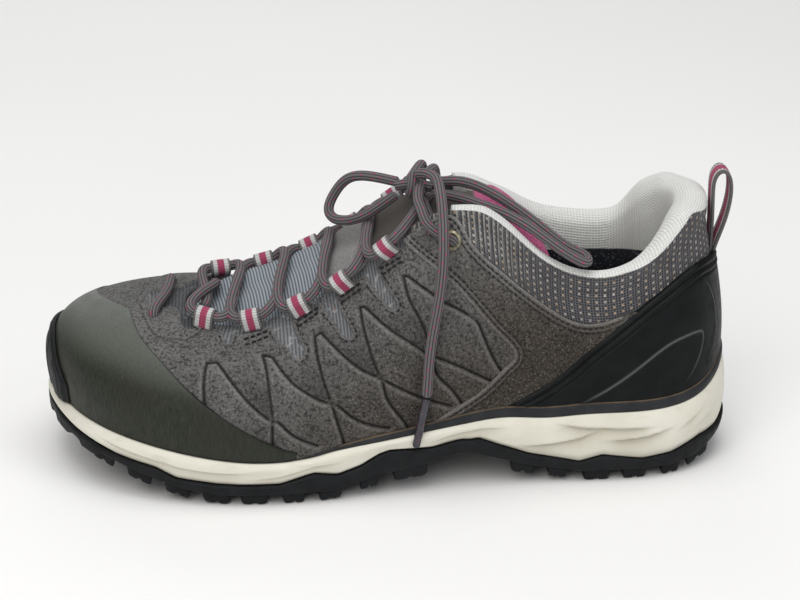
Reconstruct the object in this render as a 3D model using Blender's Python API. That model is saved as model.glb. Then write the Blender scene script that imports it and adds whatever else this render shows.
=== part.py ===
"""Low-cut hiking shoe for the left foot, as separate closed solids in metres.

The toe points to -X, the outer side of the foot faces -Y, +Z is up and the shoe stands on z = 0.
The tables are in millimetres and degrees. "Along" runs from the back of the heel to the toe, "side" is
positive towards the inner side of the foot and "height" is measured from the floor.
"""

import bmesh
import bpy
import numpy as np

# Driving sizes
MM = 0.001
GAP = 0.3
SOLE_LENGTH = 268.5
WALL = 2.2
LACE = 4.0
LACE_HOLE = 2.6
SIDES = {-1: "outer", 1: "inner"}
HEEL_OVERHANG = 1.2
MIDDLE_ALONG = SOLE_LENGTH / 2 - HEEL_OVERHANG
MIDDLE_SIDE = -3.8

# The upper and the rim of the sole, one row for each section round the foot, from the toe round the outer
# side. The foot columns follow the line where the upper meets the sole, the edge columns throat and collar.
# Lean and swell shape the foot of a section, crown and reach its top. Flare is the midsole's base width.
STATION_COLUMNS = (
    "foot_along foot_side foot_height edge_along edge_side edge_height lean swell crown reach rim flare"
).split()
STATIONS = (
    (262.0, 9.0, 29.0, 212.0, 4.0, 64.0, 12, 0.60, 6, 0.56, 3.0, 4.5),
    (251.5, -20.0, 27.0, 211.0, -8.0, 63.5, 12, 0.56, 8, 0.48, 3.0, 4.2),
    (225.0, -41.0, 22.5, 203.0, -15.0, 62.5, 10, 0.50, 12, 0.46, 3.0, 3.5),
    (187.0, -49.0, 17.5, 185.0, -18.0, 63.0, 8, 0.46, 18, 0.44, 3.0, 3.0),
    (146.0, -45.5, 17.5, 149.0, -20.5, 81.0, 6, 0.44, 32, 0.40, 3.0, 2.5),
    (108.0, -38.5, 20.5, 110.0, -25.0, 109.5, 4, 0.38, 60, 0.38, 3.2, 3.0),
    (70.0, -33.5, 27.5, 77.0, -31.0, 88.0, 4, 0.36, 80, 0.36, 3.6, 4.0),
    (38.0, -31.5, 28.5, 44.0, -30.0, 80.0, 5, 0.36, 82, 0.36, 3.6, 4.5),
    (13.0, -21.5, 32.0, 18.0, -20.5, 96.0, 5, 0.36, 84, 0.36, 3.6, 4.2),
    (3.5, 0.0, 41.0, 9.5, 0.0, 101.0, 6, 0.36, 84, 0.36, 3.6, 4.2),
    (13.0, 21.5, 32.0, 18.0, 20.5, 97.0, 5, 0.36, 84, 0.36, 3.6, 4.2),
    (38.0, 31.0, 28.5, 44.0, 29.5, 81.5, 5, 0.36, 82, 0.36, 3.6, 4.5),
    (70.0, 30.0, 27.5, 76.0, 28.5, 87.5, 4, 0.36, 80, 0.36, 3.6, 4.0),
    (108.0, 29.0, 21.5, 106.0, 24.5, 106.0, 4, 0.38, 62, 0.38, 3.2, 3.0),
    (146.0, 33.0, 18.5, 144.0, 20.5, 85.0, 6, 0.44, 32, 0.40, 3.0, 2.5),
    (190.0, 40.0, 18.0, 180.0, 19.0, 69.0, 8, 0.46, 18, 0.44, 3.0, 3.0),
    (229.0, 40.0, 23.0, 199.0, 18.0, 66.0, 10, 0.52, 10, 0.46, 3.0, 3.5),
    (253.5, 29.0, 27.5, 209.0, 13.0, 65.0, 12, 0.58, 6, 0.50, 3.0, 4.2),
)
ROUND = len(STATIONS)

# Height of the line between midsole and outsole
SEAM = (
    # along, height
    (-4.0, 20.0),
    (3.0, 14.0),
    (11.0, 13.5),
    (23.0, 9.5),
    (35.0, 8.5),
    (51.0, 11.0),
    (60.0, 8.5),
    (78.0, 12.5),
    (99.0, 18.0),
    (118.0, 15.5),
    (134.0, 15.0),
    (145.0, 11.0),
    (154.0, 9.5),
    (163.0, 11.0),
    (176.0, 8.0),
    (200.0, 9.0),
    (216.0, 10.5),
    (224.0, 14.0),
    (246.0, 17.5),
    (257.0, 22.0),
    (268.0, 27.0),
)
LUG_HEIGHT = 4.5
PLATE = 2.4
ARCH_ALONG = 105.0
ARCH_HALF = 24.0
ARCH_RISE = 4.0

# Underside of the lugs: flat under heel and ball, lifted at the toe, the waist and the back of the heel
TREAD = (
    # along, height
    (-4.0, 11.0),
    (5.0, 5.5),
    (13.0, 1.8),
    (22.0, 0.0),
    (58.0, 0.0),
    (72.0, 2.4),
    (88.0, 5.5),
    (106.0, 7.0),
    (126.0, 6.5),
    (142.0, 4.0),
    (156.0, 0.0),
    (198.0, 0.0),
    (211.0, 1.6),
    (226.0, 5.4),
    (241.0, 10.0),
    (256.0, 14.5),
    (268.0, 18.0),
)

MATERIALS = {
    # name: colour, roughness, metallic
    "black_rubber": ((0.018, 0.020, 0.024), 0.6, 0.0),
    "white_foam": ((0.62, 0.60, 0.55), 0.6, 0.0),
    "grey_rubber": ((0.09, 0.09, 0.10), 0.5, 0.0),
    "suede": ((0.16, 0.15, 0.145), 0.95, 0.0),
    "toe_rubber": ((0.06, 0.062, 0.055), 0.6, 0.0),
    "counter_plastic": ((0.02, 0.022, 0.024), 0.35, 0.0),
    "lining_mesh": ((0.50, 0.50, 0.48), 0.9, 0.0),
    "tongue_knit": ((0.2, 0.2, 0.21), 0.9, 0.0),
    "insole_felt": ((0.03, 0.03, 0.035), 0.95, 0.0),
    "webbing": ((0.45, 0.10, 0.22), 0.8, 0.0),
    "lace_braid": ((0.17, 0.14, 0.15), 0.85, 0.0),
    "eyelet_metal": ((0.25, 0.22, 0.17), 0.35, 1.0),
}


class Curve:
    """A cubic spline through rows of numbers, one unit of its parameter from row to row."""

    def __init__(self, rows, closed=False):
        self.rows = np.array(rows, float)
        self.closed = closed
        count = len(self.rows)
        system = 4 * np.eye(count) + np.eye(count, k=1) + np.eye(count, k=-1)
        pull = 6 * (np.roll(self.rows, -1, 0) - 2 * self.rows + np.roll(self.rows, 1, 0))
        if closed:
            system[0, -1] = 1
            system[-1, 0] = 1
        else:
            system[0, :2] = (1, 0)
            system[-1, -2:] = (0, 1)
            pull[[0, -1]] = 0
        self.bend = np.linalg.solve(system, pull)

    def __call__(self, u):
        u = np.asarray(u, float)
        count = len(self.rows)
        first = np.floor(u).astype(int)
        if not self.closed:
            first = np.clip(first, 0, count - 2)
        b = (u - first)[..., None]
        a = 1 - b
        i = first % count
        j = (first + 1) % count
        bent = (a**3 - a) * self.bend[i] + (b**3 - b) * self.bend[j]
        return a * self.rows[i] + b * self.rows[j] + bent / 6


SECTIONS = Curve(STATIONS, closed=True)
UP = np.array((0.0, 0.0, 1.0))


def column(u, name):
    """One column of the station table at u."""
    return SECTIONS(u)[..., STATION_COLUMNS.index(name)]


def foot_line(u):
    return SECTIONS(u)[..., 0:3]


def edge_line(u):
    return SECTIONS(u)[..., 3:6]


def outward(line, u):
    """The level unit vector that points away from the foot, square to a line round it."""
    step = 0.02
    run = line(np.asarray(u) + step) - line(np.asarray(u) - step)
    out = np.stack([-run[..., 1], run[..., 0], 0 * run[..., 0]], -1)
    return out / np.linalg.norm(out, axis=-1, keepdims=True)


def wall_point(u, t):
    """The outer face of the upper: t is 0 at the sole and 1 at the throat or collar."""
    u, t = np.broadcast_arrays(np.asarray(u, float), np.asarray(t, float))
    foot = foot_line(u)
    edge = edge_line(u)
    lean, crown = np.radians(column(u, "lean")), np.radians(column(u, "crown"))
    swell, reach = column(u, "swell"), column(u, "reach")
    out = outward(foot_line, u)
    chord = np.linalg.norm(edge - foot, axis=-1)
    rise = np.cos(lean)[..., None] * UP + np.sin(lean)[..., None] * out
    fall = np.cos(crown)[..., None] * out - np.sin(crown)[..., None] * UP
    low = foot + (chord * swell)[..., None] * rise
    high = edge + (chord * reach)[..., None] * fall
    t = t[..., None]
    s = 1 - t
    return s**3 * foot + 3 * s**2 * t * low + 3 * s * t**2 * high + t**3 * edge


def wall_normal(u, t):
    step = 0.01
    t = np.clip(np.asarray(t, float), 0, 1)
    around = wall_point(u + step, t) - wall_point(u - step, t)
    rise = wall_point(u, np.minimum(t + step, 1)) - wall_point(u, np.maximum(t - step, 0))
    normal = np.cross(rise, around)
    return normal / np.linalg.norm(normal, axis=-1, keepdims=True)


def skin(u, t, offset):
    """A point at a distance from the upper's outer face."""
    u, t, offset = np.broadcast_arrays(np.asarray(u, float), np.asarray(t, float), np.asarray(offset, float))
    return wall_point(u, t) + offset[..., None] * wall_normal(u, t)


def to_frame(points):
    """Table millimetres to metres in the shoe's own frame."""
    points = np.asarray(points, float)
    framed = np.stack([MIDDLE_ALONG - points[..., 0], points[..., 1] - MIDDLE_SIDE, points[..., 2]], -1)
    return framed * MM


def material(name):
    found = bpy.data.materials.get(name)
    if found:
        return found
    colour, roughness, metallic = MATERIALS[name]
    made = bpy.data.materials.new(name)
    made.use_nodes = True
    shader = made.node_tree.nodes["Principled BSDF"]
    shader.inputs["Base Color"].default_value = (*colour, 1)
    shader.inputs["Roughness"].default_value = roughness
    shader.inputs["Metallic"].default_value = metallic
    made.diffuse_color = (*colour, 1)
    return made


def add_object(name, data, material_name):
    made = bpy.data.objects.new(name, data)
    data.materials.append(material(material_name))
    bpy.context.scene.collection.objects.link(made)
    return made


def add_mesh(name, points, faces, material_name, smooth_angle=40):
    """A closed mesh from table points, with its faces turned outwards."""
    mesh = bpy.data.meshes.new(name)
    mesh.from_pydata(to_frame(points).tolist(), [], faces)
    work = bmesh.new()
    work.from_mesh(mesh)
    bmesh.ops.recalc_face_normals(work, faces=work.faces)
    if work.calc_volume(signed=True) < 0:
        bmesh.ops.reverse_faces(work, faces=work.faces)
    work.to_mesh(mesh)
    work.free()
    mesh.shade_smooth()
    mesh.set_sharp_from_angle(angle=np.radians(smooth_angle))
    return add_object(name, mesh, material_name)


def loft_faces(count, size, closed, first=0):
    """Faces between closed loops of points; the two end loops are closed across, point for point."""
    faces = []
    for i in range(count if closed else count - 1):
        here = first + i * size
        there = first + (i + 1) % count * size
        for k in range(size):
            n = (k + 1) % size
            faces.append((here + k, here + n, there + n, there + k))
    if not closed:
        for end in (first, first + (count - 1) * size):
            for k in range(size // 2 - 1):
                faces.append((end + k, end + k + 1, end + size - 2 - k, end + size - 1 - k))
    return faces


def loft(name, loops, material_name, closed=False, smooth_angle=40):
    """A solid through closed loops of points, all of one even count."""
    loops = np.asarray(loops, float)
    count, size = loops.shape[:2]
    faces = loft_faces(count, size, closed)
    return add_mesh(name, loops.reshape(-1, 3), faces, material_name, smooth_angle)


def patch_loops(us, heights, inner, outer):
    """Loops for a piece of the wall between two offsets: heights(u) gives its t values at each station."""
    loops = []
    for u in us:
        t = heights(u)
        loops.append(np.concatenate([skin(u, t, outer(u, t)), skin(u, t[::-1], inner(u, t[::-1]))]))
    return loops


def constant(value):
    return lambda u, t: np.full(np.shape(t), float(value))


def smooth_step(x):
    x = np.clip(x, 0, 1)
    return x * x * (3 - 2 * x)


def boolean(target, others, operation):
    """Joins or cuts with other objects for good, and removes them."""
    for other in others:
        modifier = target.modifiers.new("join", "BOOLEAN")
        modifier.operation = operation
        modifier.object = other
    bpy.context.view_layer.update()
    graph = bpy.context.evaluated_depsgraph_get()
    mesh = bpy.data.meshes.new_from_object(target.evaluated_get(graph))
    target.modifiers.clear()
    target.data = mesh
    for other in others:
        bpy.data.objects.remove(other)
    return target


# Sole

RING = 90
RING_U = (np.arange(RING) + 0.5) * ROUND / RING


def tread_height(along):
    rows = np.array(TREAD)
    return np.interp(along, rows[:, 0], rows[:, 1])


def plate_height(along):
    """Underside of the outsole between the lugs, with the arch."""
    arch = ARCH_RISE * (1 - smooth_step(abs(np.asarray(along, float) - ARCH_ALONG) / ARCH_HALF))
    return tread_height(along) + LUG_HEIGHT + arch


def seam_height(along):
    """Top of the outsole at its rim."""
    rows = np.array(SEAM)
    return np.maximum(np.interp(along, rows[:, 0], rows[:, 1]), plate_height(along) + PLATE)


def sole_ring(offset, height):
    """A ring round the sole: offset from the foot line, at heights worked out from the ring's own points."""
    ring = foot_line(RING_U) + np.asarray(offset, float)[..., None] * outward(foot_line, RING_U)
    ring[:, 2] = height(ring)
    return ring


MIDSOLE_RINGS = (
    # share of the height, station column that the offset starts from, offset
    (0.00, "flare", -1.2),
    (0.12, "flare", 0.0),
    (0.40, "flare", 0.6),
    (0.78, "rim", 0.7),
    (1.00, "rim", -0.4),
)


def build_midsole():
    top = foot_line(RING_U)[:, 2]
    base = seam_height(sole_ring(column(RING_U, "flare"), lambda ring: ring[:, 0])[:, 0]) + GAP
    rings = []
    for share, start, offset in MIDSOLE_RINGS:
        height = base + share * (top - base)
        rings.append(sole_ring(column(RING_U, start) + offset, lambda ring, height=height: height))
    return loft("midsole", rings, "white_foam")


LUG_ROWS = (
    # along, length, outer lug depth, inner lug depth, middle lug half width
    (12.0, 9.0, 13.0, 13.0, 0.0),
    (23.5, 7.0, 16.0, 16.0, 0.0),
    (38.0, 9.0, 19.0, 19.0, 7.0),
    (53.0, 10.0, 20.0, 20.0, 8.0),
    (68.5, 7.0, 20.0, 20.0, 8.0),
    (82.0, 9.0, 18.0, 18.0, 0.0),
    (126.0, 13.0, 18.0, 16.0, 0.0),
    (142.0, 7.0, 20.0, 18.0, 7.0),
    (157.0, 8.5, 22.0, 20.0, 9.0),
    (171.0, 8.0, 22.0, 22.0, 10.0),
    (186.0, 10.0, 22.0, 22.0, 11.0),
    (200.5, 10.0, 22.0, 22.0, 10.0),
    (215.5, 9.0, 21.0, 21.0, 9.0),
    (230.0, 9.0, 19.0, 20.0, 8.0),
    (244.0, 8.0, 15.0, 16.0, 0.0),
)
LUG_ROOT = 1.2
LUG_TAPER = 1.0
LUG_INSET = 2.6


def edge_of_sole(side):
    """Along and side of the outsole's rim on one side of the foot, in order of along."""
    ring = sole_ring(column(RING_U, "flare"), lambda points: points[:, 2])
    half = ring[: RING // 2] if side < 0 else ring[RING // 2 :]
    half = half[np.argsort(half[:, 0])]
    return half[:, 0], half[:, 1]


def lug_corners(along, length, near, far):
    """Eight corners of a tapered block; near and far give its two sides at an along value."""
    corners = []
    for grow, floor in ((0.0, tread_height), (LUG_TAPER, lambda a: plate_height(a) + LUG_ROOT)):
        for end in (-1, 1):
            a = along + end * (length / 2 + grow)
            low, high = near(a), far(a)
            corners.append((a, low - grow * np.sign(high - low), floor(a)))
            corners.append((a, high + grow * np.sign(high - low), floor(a)))
    return corners


BLOCK_FACES = ((0, 1, 3, 2), (4, 5, 7, 6), (0, 1, 5, 4), (2, 3, 7, 6), (0, 2, 6, 4), (1, 3, 7, 5))


def build_lugs():
    """All lugs as blocks of one mesh, two at the rims and up to one in the middle of each row."""
    points = []
    faces = []
    rims = {side: edge_of_sole(side) for side in (-1, 1)}
    for along, length, outer, inner, middle in LUG_ROWS:
        blocks = []
        for side, depth in ((-1, outer), (1, inner)):
            rim = lambda a, side=side: np.interp(a, *rims[side]) - side * LUG_INSET
            back = lambda a, side=side, depth=depth: np.interp(a, *rims[side]) - side * depth
            blocks.append(lug_corners(along, length, rim, back))
        if middle:
            centre = (np.interp(along, *rims[-1]) + np.interp(along, *rims[1])) / 2
            shift = along + length * 0.75
            left = lambda a, c=centre, m=middle: c - m
            right = lambda a, c=centre, m=middle: c + m
            blocks.append(lug_corners(shift, length * 0.8, left, right))
        for corners in blocks:
            start = len(points)
            points.extend(corners)
            faces.extend(tuple(start + k for k in face) for face in BLOCK_FACES)
    return add_mesh("lugs", points, faces, "black_rubber")


OUTSOLE_RINGS = (
    # offset from the flare, line that the height starts from, height over it
    (-1.5, "plate", 0.0),
    (0.2, "plate", 0.8),
    (0.6, "seam", -0.8),
    (-0.6, "seam", 0.0),
)


def build_outsole():
    flare = column(RING_U, "flare")
    seam = seam_height(sole_ring(flare, lambda ring: ring[:, 0])[:, 0])
    rings = []
    for offset, line, rise in OUTSOLE_RINGS:
        ring = sole_ring(flare + offset, lambda points: points[:, 2])
        ring[:, 2] = rise + (seam if line == "seam" else plate_height(ring[:, 0]))
        rings.append(ring)
    plate = loft("outsole", rings, "black_rubber")
    return boolean(plate, [build_lugs()], "UNION")


INSOLE_CLEAR = 1.2
INSOLE_RINGS = (
    # offset from the inside of the wall, height over the bed
    (-1.0, 0.0),
    (0.0, 1.0),
    (0.0, 3.5),
    (-4.0, 2.9),
)


def build_insole():
    """A thin footbed inside the wall, a little cupped at its edge."""
    inside = -(WALL + INSOLE_CLEAR)
    rings = []
    for offset, rise in INSOLE_RINGS:
        ring = sole_ring(np.full(RING, inside + offset), lambda points: points[:, 2])
        ring[:, 2] += 2 * GAP + rise
        rings.append(ring)
    return loft("insole", [ring[1::3] for ring in rings], "insole_felt")


BAND_FIRST, BAND_LAST = 4.75, ROUND - 4.75
BAND_FADE = 0.8
BAND_END = (0.8, 1.0)
BAND_FULL = (3.1, 5.2)
BAND_RIM = 0.8


def build_band():
    """The dark rim on top of the midsole, from the waist round the heel, thinning to its ends."""
    loops = []
    for u in np.linspace(BAND_FIRST, BAND_LAST, 27):
        fade = smooth_step((u - BAND_FIRST) / BAND_FADE) * smooth_step((BAND_LAST - u) / BAND_FADE)
        wide, tall = np.array(BAND_END) + fade * (np.array(BAND_FULL) - np.array(BAND_END))
        foot = skin(u, 0.0, GAP) + GAP * UP
        out = wide * outward(foot_line, u)
        lean = skin(u, 0.08, GAP) - skin(u, 0.0, GAP)
        top = foot + lean * tall / lean[2]
        loops.append([foot, foot + out, top + 0.85 * out - BAND_RIM * UP, top + 0.5 * out])
        loops[-1].extend([top + 0.15 * out, (foot + top) / 2])
    return loft("midsole_band", loops, "grey_rubber")


# Upper and its overlays

UPPER_COLUMNS = 3 * ROUND
UPPER_ROWS = 9


def hole_cutter(u, t):
    """A round bar through the wall, to cut a lace hole."""
    rings = tube_loops([skin(u, t, -2 * WALL), skin(u, t, 2 * WALL)], LACE_HOLE, 10)
    return loft("hole_cutter", rings, "suede")


def build_upper():
    """One hollow wall round the foot, open at throat and collar and underneath."""
    us = np.arange(UPPER_COLUMNS) * ROUND / UPPER_COLUMNS
    rows = np.linspace(0, 1, UPPER_ROWS)
    loops = np.array(patch_loops(us, lambda u: rows, constant(-WALL), constant(0.0)))
    loops[:, [0, -1], 2] = (foot_line(us)[:, 2] + GAP)[:, None]
    upper = loft("upper", loops, "suede", closed=True)
    places = [*FRONT_HOLE.values(), *(eyelet_place(side) for side in SIDES)]
    return boolean(upper, [hole_cutter(u, t) for u, t in places], "DIFFERENCE")


OVERLAY = 1.2
SEAT = 2 * GAP
QUARTER_THICK = 1.0
# Upper edges of the overlays: station, t
TOE_CAP = (
    (-3.1, 0.06),
    (-2.6, 0.20),
    (-2.1, 0.38),
    (-1.5, 0.56),
    (-0.8, 0.69),
    (-0.2, 0.745),
    (0.5, 0.76),
    (1.35, 0.66),
    (2.0, 0.53),
    (2.5, 0.36),
    (2.8, 0.25),
    (3.2, 0.11),
    (3.45, 0.06),
)
BUMPER = ((-2.0, 0.10), (-1.4, 0.22), (-0.7, 0.28), (0.0, 0.29), (0.4, 0.22), (0.8, 0.10))
COUNTER = (
    (5.5, 0.12),
    (5.85, 0.20),
    (6.2, 0.36),
    (6.5, 0.53),
    (6.9, 0.71),
    (7.3, 0.81),
    (7.8, 0.83),
    (8.3, 0.78),
    (9.0, 0.71),
    (9.7, 0.78),
    (10.2, 0.83),
    (10.7, 0.81),
    (11.1, 0.71),
    (11.5, 0.53),
    (11.8, 0.36),
    (12.15, 0.20),
    (12.5, 0.12),
)


def overlay_edge(rows, u):
    """The t value of an overlay's upper edge at station u, smoothed between its rows."""
    smooth = Curve(rows)(np.linspace(0, len(rows) - 1, 12 * len(rows)))
    return np.interp(u, smooth[:, 0], smooth[:, 1])


def build_overlay(name, rows, low, inner, outer, material_name, steps=5):
    """A layer on the upper from low(u) to its own edge, with the wall's own columns and thinned rims."""
    first, last = rows[0][0], rows[-1][0]
    columns = np.arange(-UPPER_COLUMNS, UPPER_COLUMNS) * ROUND / UPPER_COLUMNS
    us = [first, *columns[(columns > first + 0.05) & (columns < last - 0.05)], last]

    def heights(u):
        return np.linspace(low(u), overlay_edge(rows, u), steps)

    def face(u, t):
        span = (t - t.min()) / (t.max() - t.min())
        ends = min(u - first, last - u)
        rise = smooth_step((1 - span) / 0.12) * smooth_step(ends / 0.25)
        return inner + 0.4 + (outer - inner - 0.4) * rise

    return loft(name, patch_loops(us, heights, constant(inner), face), material_name)


def above_sole(clear):
    """The t value on the upper at a height over the sole's rim."""
    def low(u):
        t = np.linspace(0, 0.5, 60)
        rise = wall_point(u, t)[:, 2] - foot_line(u)[2]
        return np.interp(clear, rise, t)
    return low


QUARTER = (
    # front edge station and t, rear edge station and t, from the throat round to the sole
    (4.52, 0.965, 4.68, 0.97),
    (4.65, 0.86, 5.02, 0.975),
    (4.89, 0.73, 5.18, 0.89),
    (5.14, 0.615, 5.40, 0.83),
    (5.35, 0.52, 5.76, 0.80),
    (5.52, 0.453, 6.16, 0.76),
    (5.60, 0.40, 6.56, 0.725),
    (5.58, 0.355, 7.00, 0.775),
    (5.49, 0.31, 6.58, 0.60),
    (5.33, 0.235, 6.00, 0.31),
    (5.11, 0.168, 5.42, 0.125),
    (4.76, 0.103, 4.82, 0.06),
)


def build_quarter(side):
    """The raised rear panel of one side, between the throat, the cuff, the counter and the sole."""
    loops = []
    share = np.array((0.0, 0.08, 0.92, 1.0))
    for front_u, front_t, rear_u, rear_t in Curve(QUARTER)(np.linspace(0, len(QUARTER) - 1, 19)):
        u = front_u + share * (rear_u - front_u)
        t = front_t + share * (rear_t - front_t)
        if side > 0:
            u = ROUND - u
        outer = skin(u, t, SEAT + np.array((0.6, 1.0, 1.0, 0.6)) * QUARTER_THICK)
        loops.append(np.concatenate([outer, skin(u, t, SEAT)[::-1]]))
    panel = loft(f"quarter_{SIDES[side]}", loops, "suede")
    return boolean(panel, [hole_cutter(*eyelet_place(side))], "DIFFERENCE")


def build_overlays():
    build_overlay("toe_cap", TOE_CAP, above_sole(2 * GAP), SEAT, SEAT + OVERLAY, "toe_rubber", 7)
    over = SEAT + OVERLAY + GAP
    build_overlay("toe_bumper", BUMPER, above_sole(1.2), over, over + 1.8, "black_rubber", 4)
    build_overlay("heel_counter", COUNTER, above_sole(6.4), SEAT, SEAT + 1.6, "counter_plastic")
    for side in SIDES:
        build_quarter(side)


# Collar, tongue and pull loop

COLLAR_FIRST, COLLAR_LAST = 5.0, 13.0
COLLAR_FADE = 0.7
# Height of the roll and thickness of its pad: at the ends, added round the ankle, added at the heel
COLLAR_LIP = (2.5, 2.5, 6.0)
COLLAR_PAD = (4.0, 2.5, 3.5)
COLLAR_HEEL = (14.0, 40.0)


def build_collar():
    """A padded roll that hooks over the wall at the ankle, taller and thicker at the heel."""
    behind = WALL + 2 * GAP
    loops = []
    for u in np.linspace(COLLAR_FIRST, COLLAR_LAST, 25):
        edge = edge_line(u)
        out = outward(edge_line, u)
        ends = smooth_step(min(u - COLLAR_FIRST, COLLAR_LAST - u) / COLLAR_FADE)
        heel = smooth_step((COLLAR_HEEL[1] - edge[0]) / (COLLAR_HEEL[1] - COLLAR_HEEL[0]))
        lip, pad = np.array((COLLAR_LIP, COLLAR_PAD)) @ (1, ends, heel)
        deep = np.linspace(0, 1, UPPER_ROWS)[-4:]
        back = skin(u, deep, -behind)
        back[-1] = skin(u, 1.0, -behind - 2 * GAP) + 2 * GAP * UP
        front = skin(u, deep[::-1], -behind - pad * np.array((1.0, 1.0, 0.9, 0.35)))
        top = edge + 2 * GAP * UP
        outer = [top + 0.2 * out, top + 0.9 * out + 0.3 * lip * UP, top + 0.5 * out + 0.7 * lip * UP]
        deepest = (pad + WALL) * out
        crest = [top - 0.28 * deepest + lip * UP, top - 0.68 * deepest + 0.92 * lip * UP]
        inner = [top - (pad + behind - 0.4) * out + 0.55 * lip * UP]
        loops.append(np.concatenate([back, outer, crest, inner, front]))
    return loft("collar_lining", loops, "lining_mesh", smooth_angle=70)


TONGUE = (
    # along, half width, height, droop of the outer side, of the inner side, thickness, turn towards the toe
    (216.0, 9.0, 57.0, 1.5, 1.5, 3.0, 2.0),
    (203.0, 14.0, 61.5, 5.6, 3.2, 3.6, 2.0),
    (186.0, 18.5, 67.5, 10.4, 5.8, 4.5, 2.5),
    (168.0, 21.0, 75.0, 11.6, 8.0, 5.0, 2.5),
    (150.0, 22.0, 84.0, 11.8, 9.2, 5.5, 2.0),
    (131.0, 22.5, 95.0, 11.0, 10.6, 6.0, 2.0),
    (112.0, 20.5, 103.0, 10.0, 10.0, 6.5, 3.0),
    (96.0, 19.0, 101.5, 9.0, 9.0, 6.5, 4.0),
    (84.0, 18.5, 96.5, 8.5, 8.5, 6.0, 5.0),
    (76.0, 17.5, 91.0, 7.0, 7.0, 4.0, 6.0),
)


def build_tongue():
    """A padded sheet that arches from side to side, from under the vamp to its free end in the opening."""
    across = np.linspace(-1, 1, 7)
    loops = []
    for along, half, height, outer, inner, thick, turn in Curve(TONGUE)(np.linspace(0, len(TONGUE) - 1, 18)):
        middle = tongue_middle(along)
        droop = np.where(across < 0, outer, inner)
        round_off = np.sqrt(1 - 0.8 * across**4)
        top = np.stack([along + turn * across, middle + half * across, height - droop * across**2], -1)
        base = top - np.outer(thick * round_off, UP)
        loops.append(np.concatenate([top, base[::-1]]))
    return loft("tongue", loops, "tongue_knit", smooth_angle=60)


def tongue_middle(along):
    """Side position of the line down the middle of the throat."""
    return np.interp(along, (76, 110, 150, 217), (-1.5, 0.0, 0.3, 3.0))


PULL_LOOP = (
    # along, height of the webbing's middle line, from its seam up the inside, over and down the back
    (6.6, 88.0),
    (6.6, 97.0),
    (6.8, 106.0),
    (6.2, 112.5),
    (3.4, 115.4),
    (0.4, 112.5),
    (-0.1, 105.0),
    (1.8, 96.0),
    (4.6, 88.0),
)
PULL_WIDTH = 11.0
PULL_THICKNESS = 1.4


def build_pull_loop():
    """A strap of webbing bent to a drop, closed at its seam."""
    path = Curve(PULL_LOOP)(np.linspace(0, len(PULL_LOOP) - 1, 21))
    run = np.gradient(path, axis=0)
    run /= np.linalg.norm(run, axis=1, keepdims=True)
    normal = np.stack([-run[:, 1], run[:, 0]], -1) * PULL_THICKNESS / 2
    loops = []
    for inside, outside in zip(path - normal, path + normal):
        corners = [(inside, -1), (inside, 1), (outside, 1), (outside, -1)]
        loops.append([(point[0], end * PULL_WIDTH / 2, point[1]) for point, end in corners])
    return loft("pull_loop", loops, "webbing")


# Lacing

LACE_ROWS = (200.0, 182.5, 164.0, 147.5, 131.0)
ROW_SKEW = 5.5
TOP_ROW = 111.0
FRONT_HOLE = {-1: (0.78, 0.84), 1: (-0.95, 0.88)}
LOOP_LENGTH = 7.6
LOOP_WALL = 1.0
LOOP_HOLE = 2.5
LOOP_REACH = 2.6
LOOP_RISE = 4.5


def edge_station(side, along):
    """The station where the throat's edge passes an along value, on one side."""
    us = np.linspace(1.0, 5.0, 200) if side < 0 else np.linspace(ROUND - 1.0, ROUND - 5.0, 200)
    found = edge_line(us)[:, 0]
    return np.interp(-along, -found, us)


def throat_frame(side, along):
    """Place on the throat's edge with its directions: towards the heel, down the wall and off the wall."""
    u = edge_station(side, along - side * ROW_SKEW / 2)
    heelward = edge_line(u - side * 0.1) - edge_line(u + side * 0.1)
    heelward /= np.linalg.norm(heelward)
    lift = wall_normal(u, 0.97)
    down = np.cross(heelward, lift) * side
    down /= np.linalg.norm(down)
    return edge_line(u), heelward, down, np.cross(down, heelward) * side


def loop_centre(side, along):
    """Middle of a lace loop: it lies on the wall's edge, with the lace running through it."""
    place, heelward, down, lift = throat_frame(side, along)
    return place + LOOP_REACH * down + LOOP_RISE * lift


def build_lace_loop(name, side, along):
    """A short flat tube of webbing round the lace."""
    heelward, down, lift = throat_frame(side, along)[1:]
    centre = loop_centre(side, along)
    turn = np.radians(np.arange(8) * 45 + 22.5)

    def ring(shift, grow):
        wide = (LOOP_HOLE + 1.6 + grow) * np.cos(turn)
        tall = (LOOP_HOLE + grow) * np.sin(turn) / np.cos(np.radians(22.5))
        return centre + shift * heelward + np.outer(wide, down) + np.outer(tall, lift)

    half = LOOP_LENGTH / 2
    rings = [ring(-half, 0), ring(half, 0), ring(half, LOOP_WALL), ring(-half, LOOP_WALL)]
    return loft(name, rings, "webbing", closed=True)


def build_loops():
    for number, along in enumerate(LACE_ROWS, 1):
        for side, word in SIDES.items():
            build_lace_loop(f"lace_loop_{word}_{number}", side, along)


def tube_loops(path, radius, sides=6):
    """Rings round a path, turned as little as possible from one to the next."""
    path = np.asarray(path, float)
    run = np.gradient(path, axis=0)
    run /= np.linalg.norm(run, axis=1, keepdims=True)
    across = np.cross(run[0], UP if abs(run[0] @ UP) < 0.9 else np.array((0.0, 1.0, 0.0)))
    loops = []
    turn = 2 * np.pi * (np.arange(sides) + 0.5) / sides
    for point, direction in zip(path, run):
        across = across - (across @ direction) * direction
        across /= np.linalg.norm(across)
        other = np.cross(direction, across)
        loops.append(point + radius * (np.outer(np.cos(turn), across) + np.outer(np.sin(turn), other)))
    return loops


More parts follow.
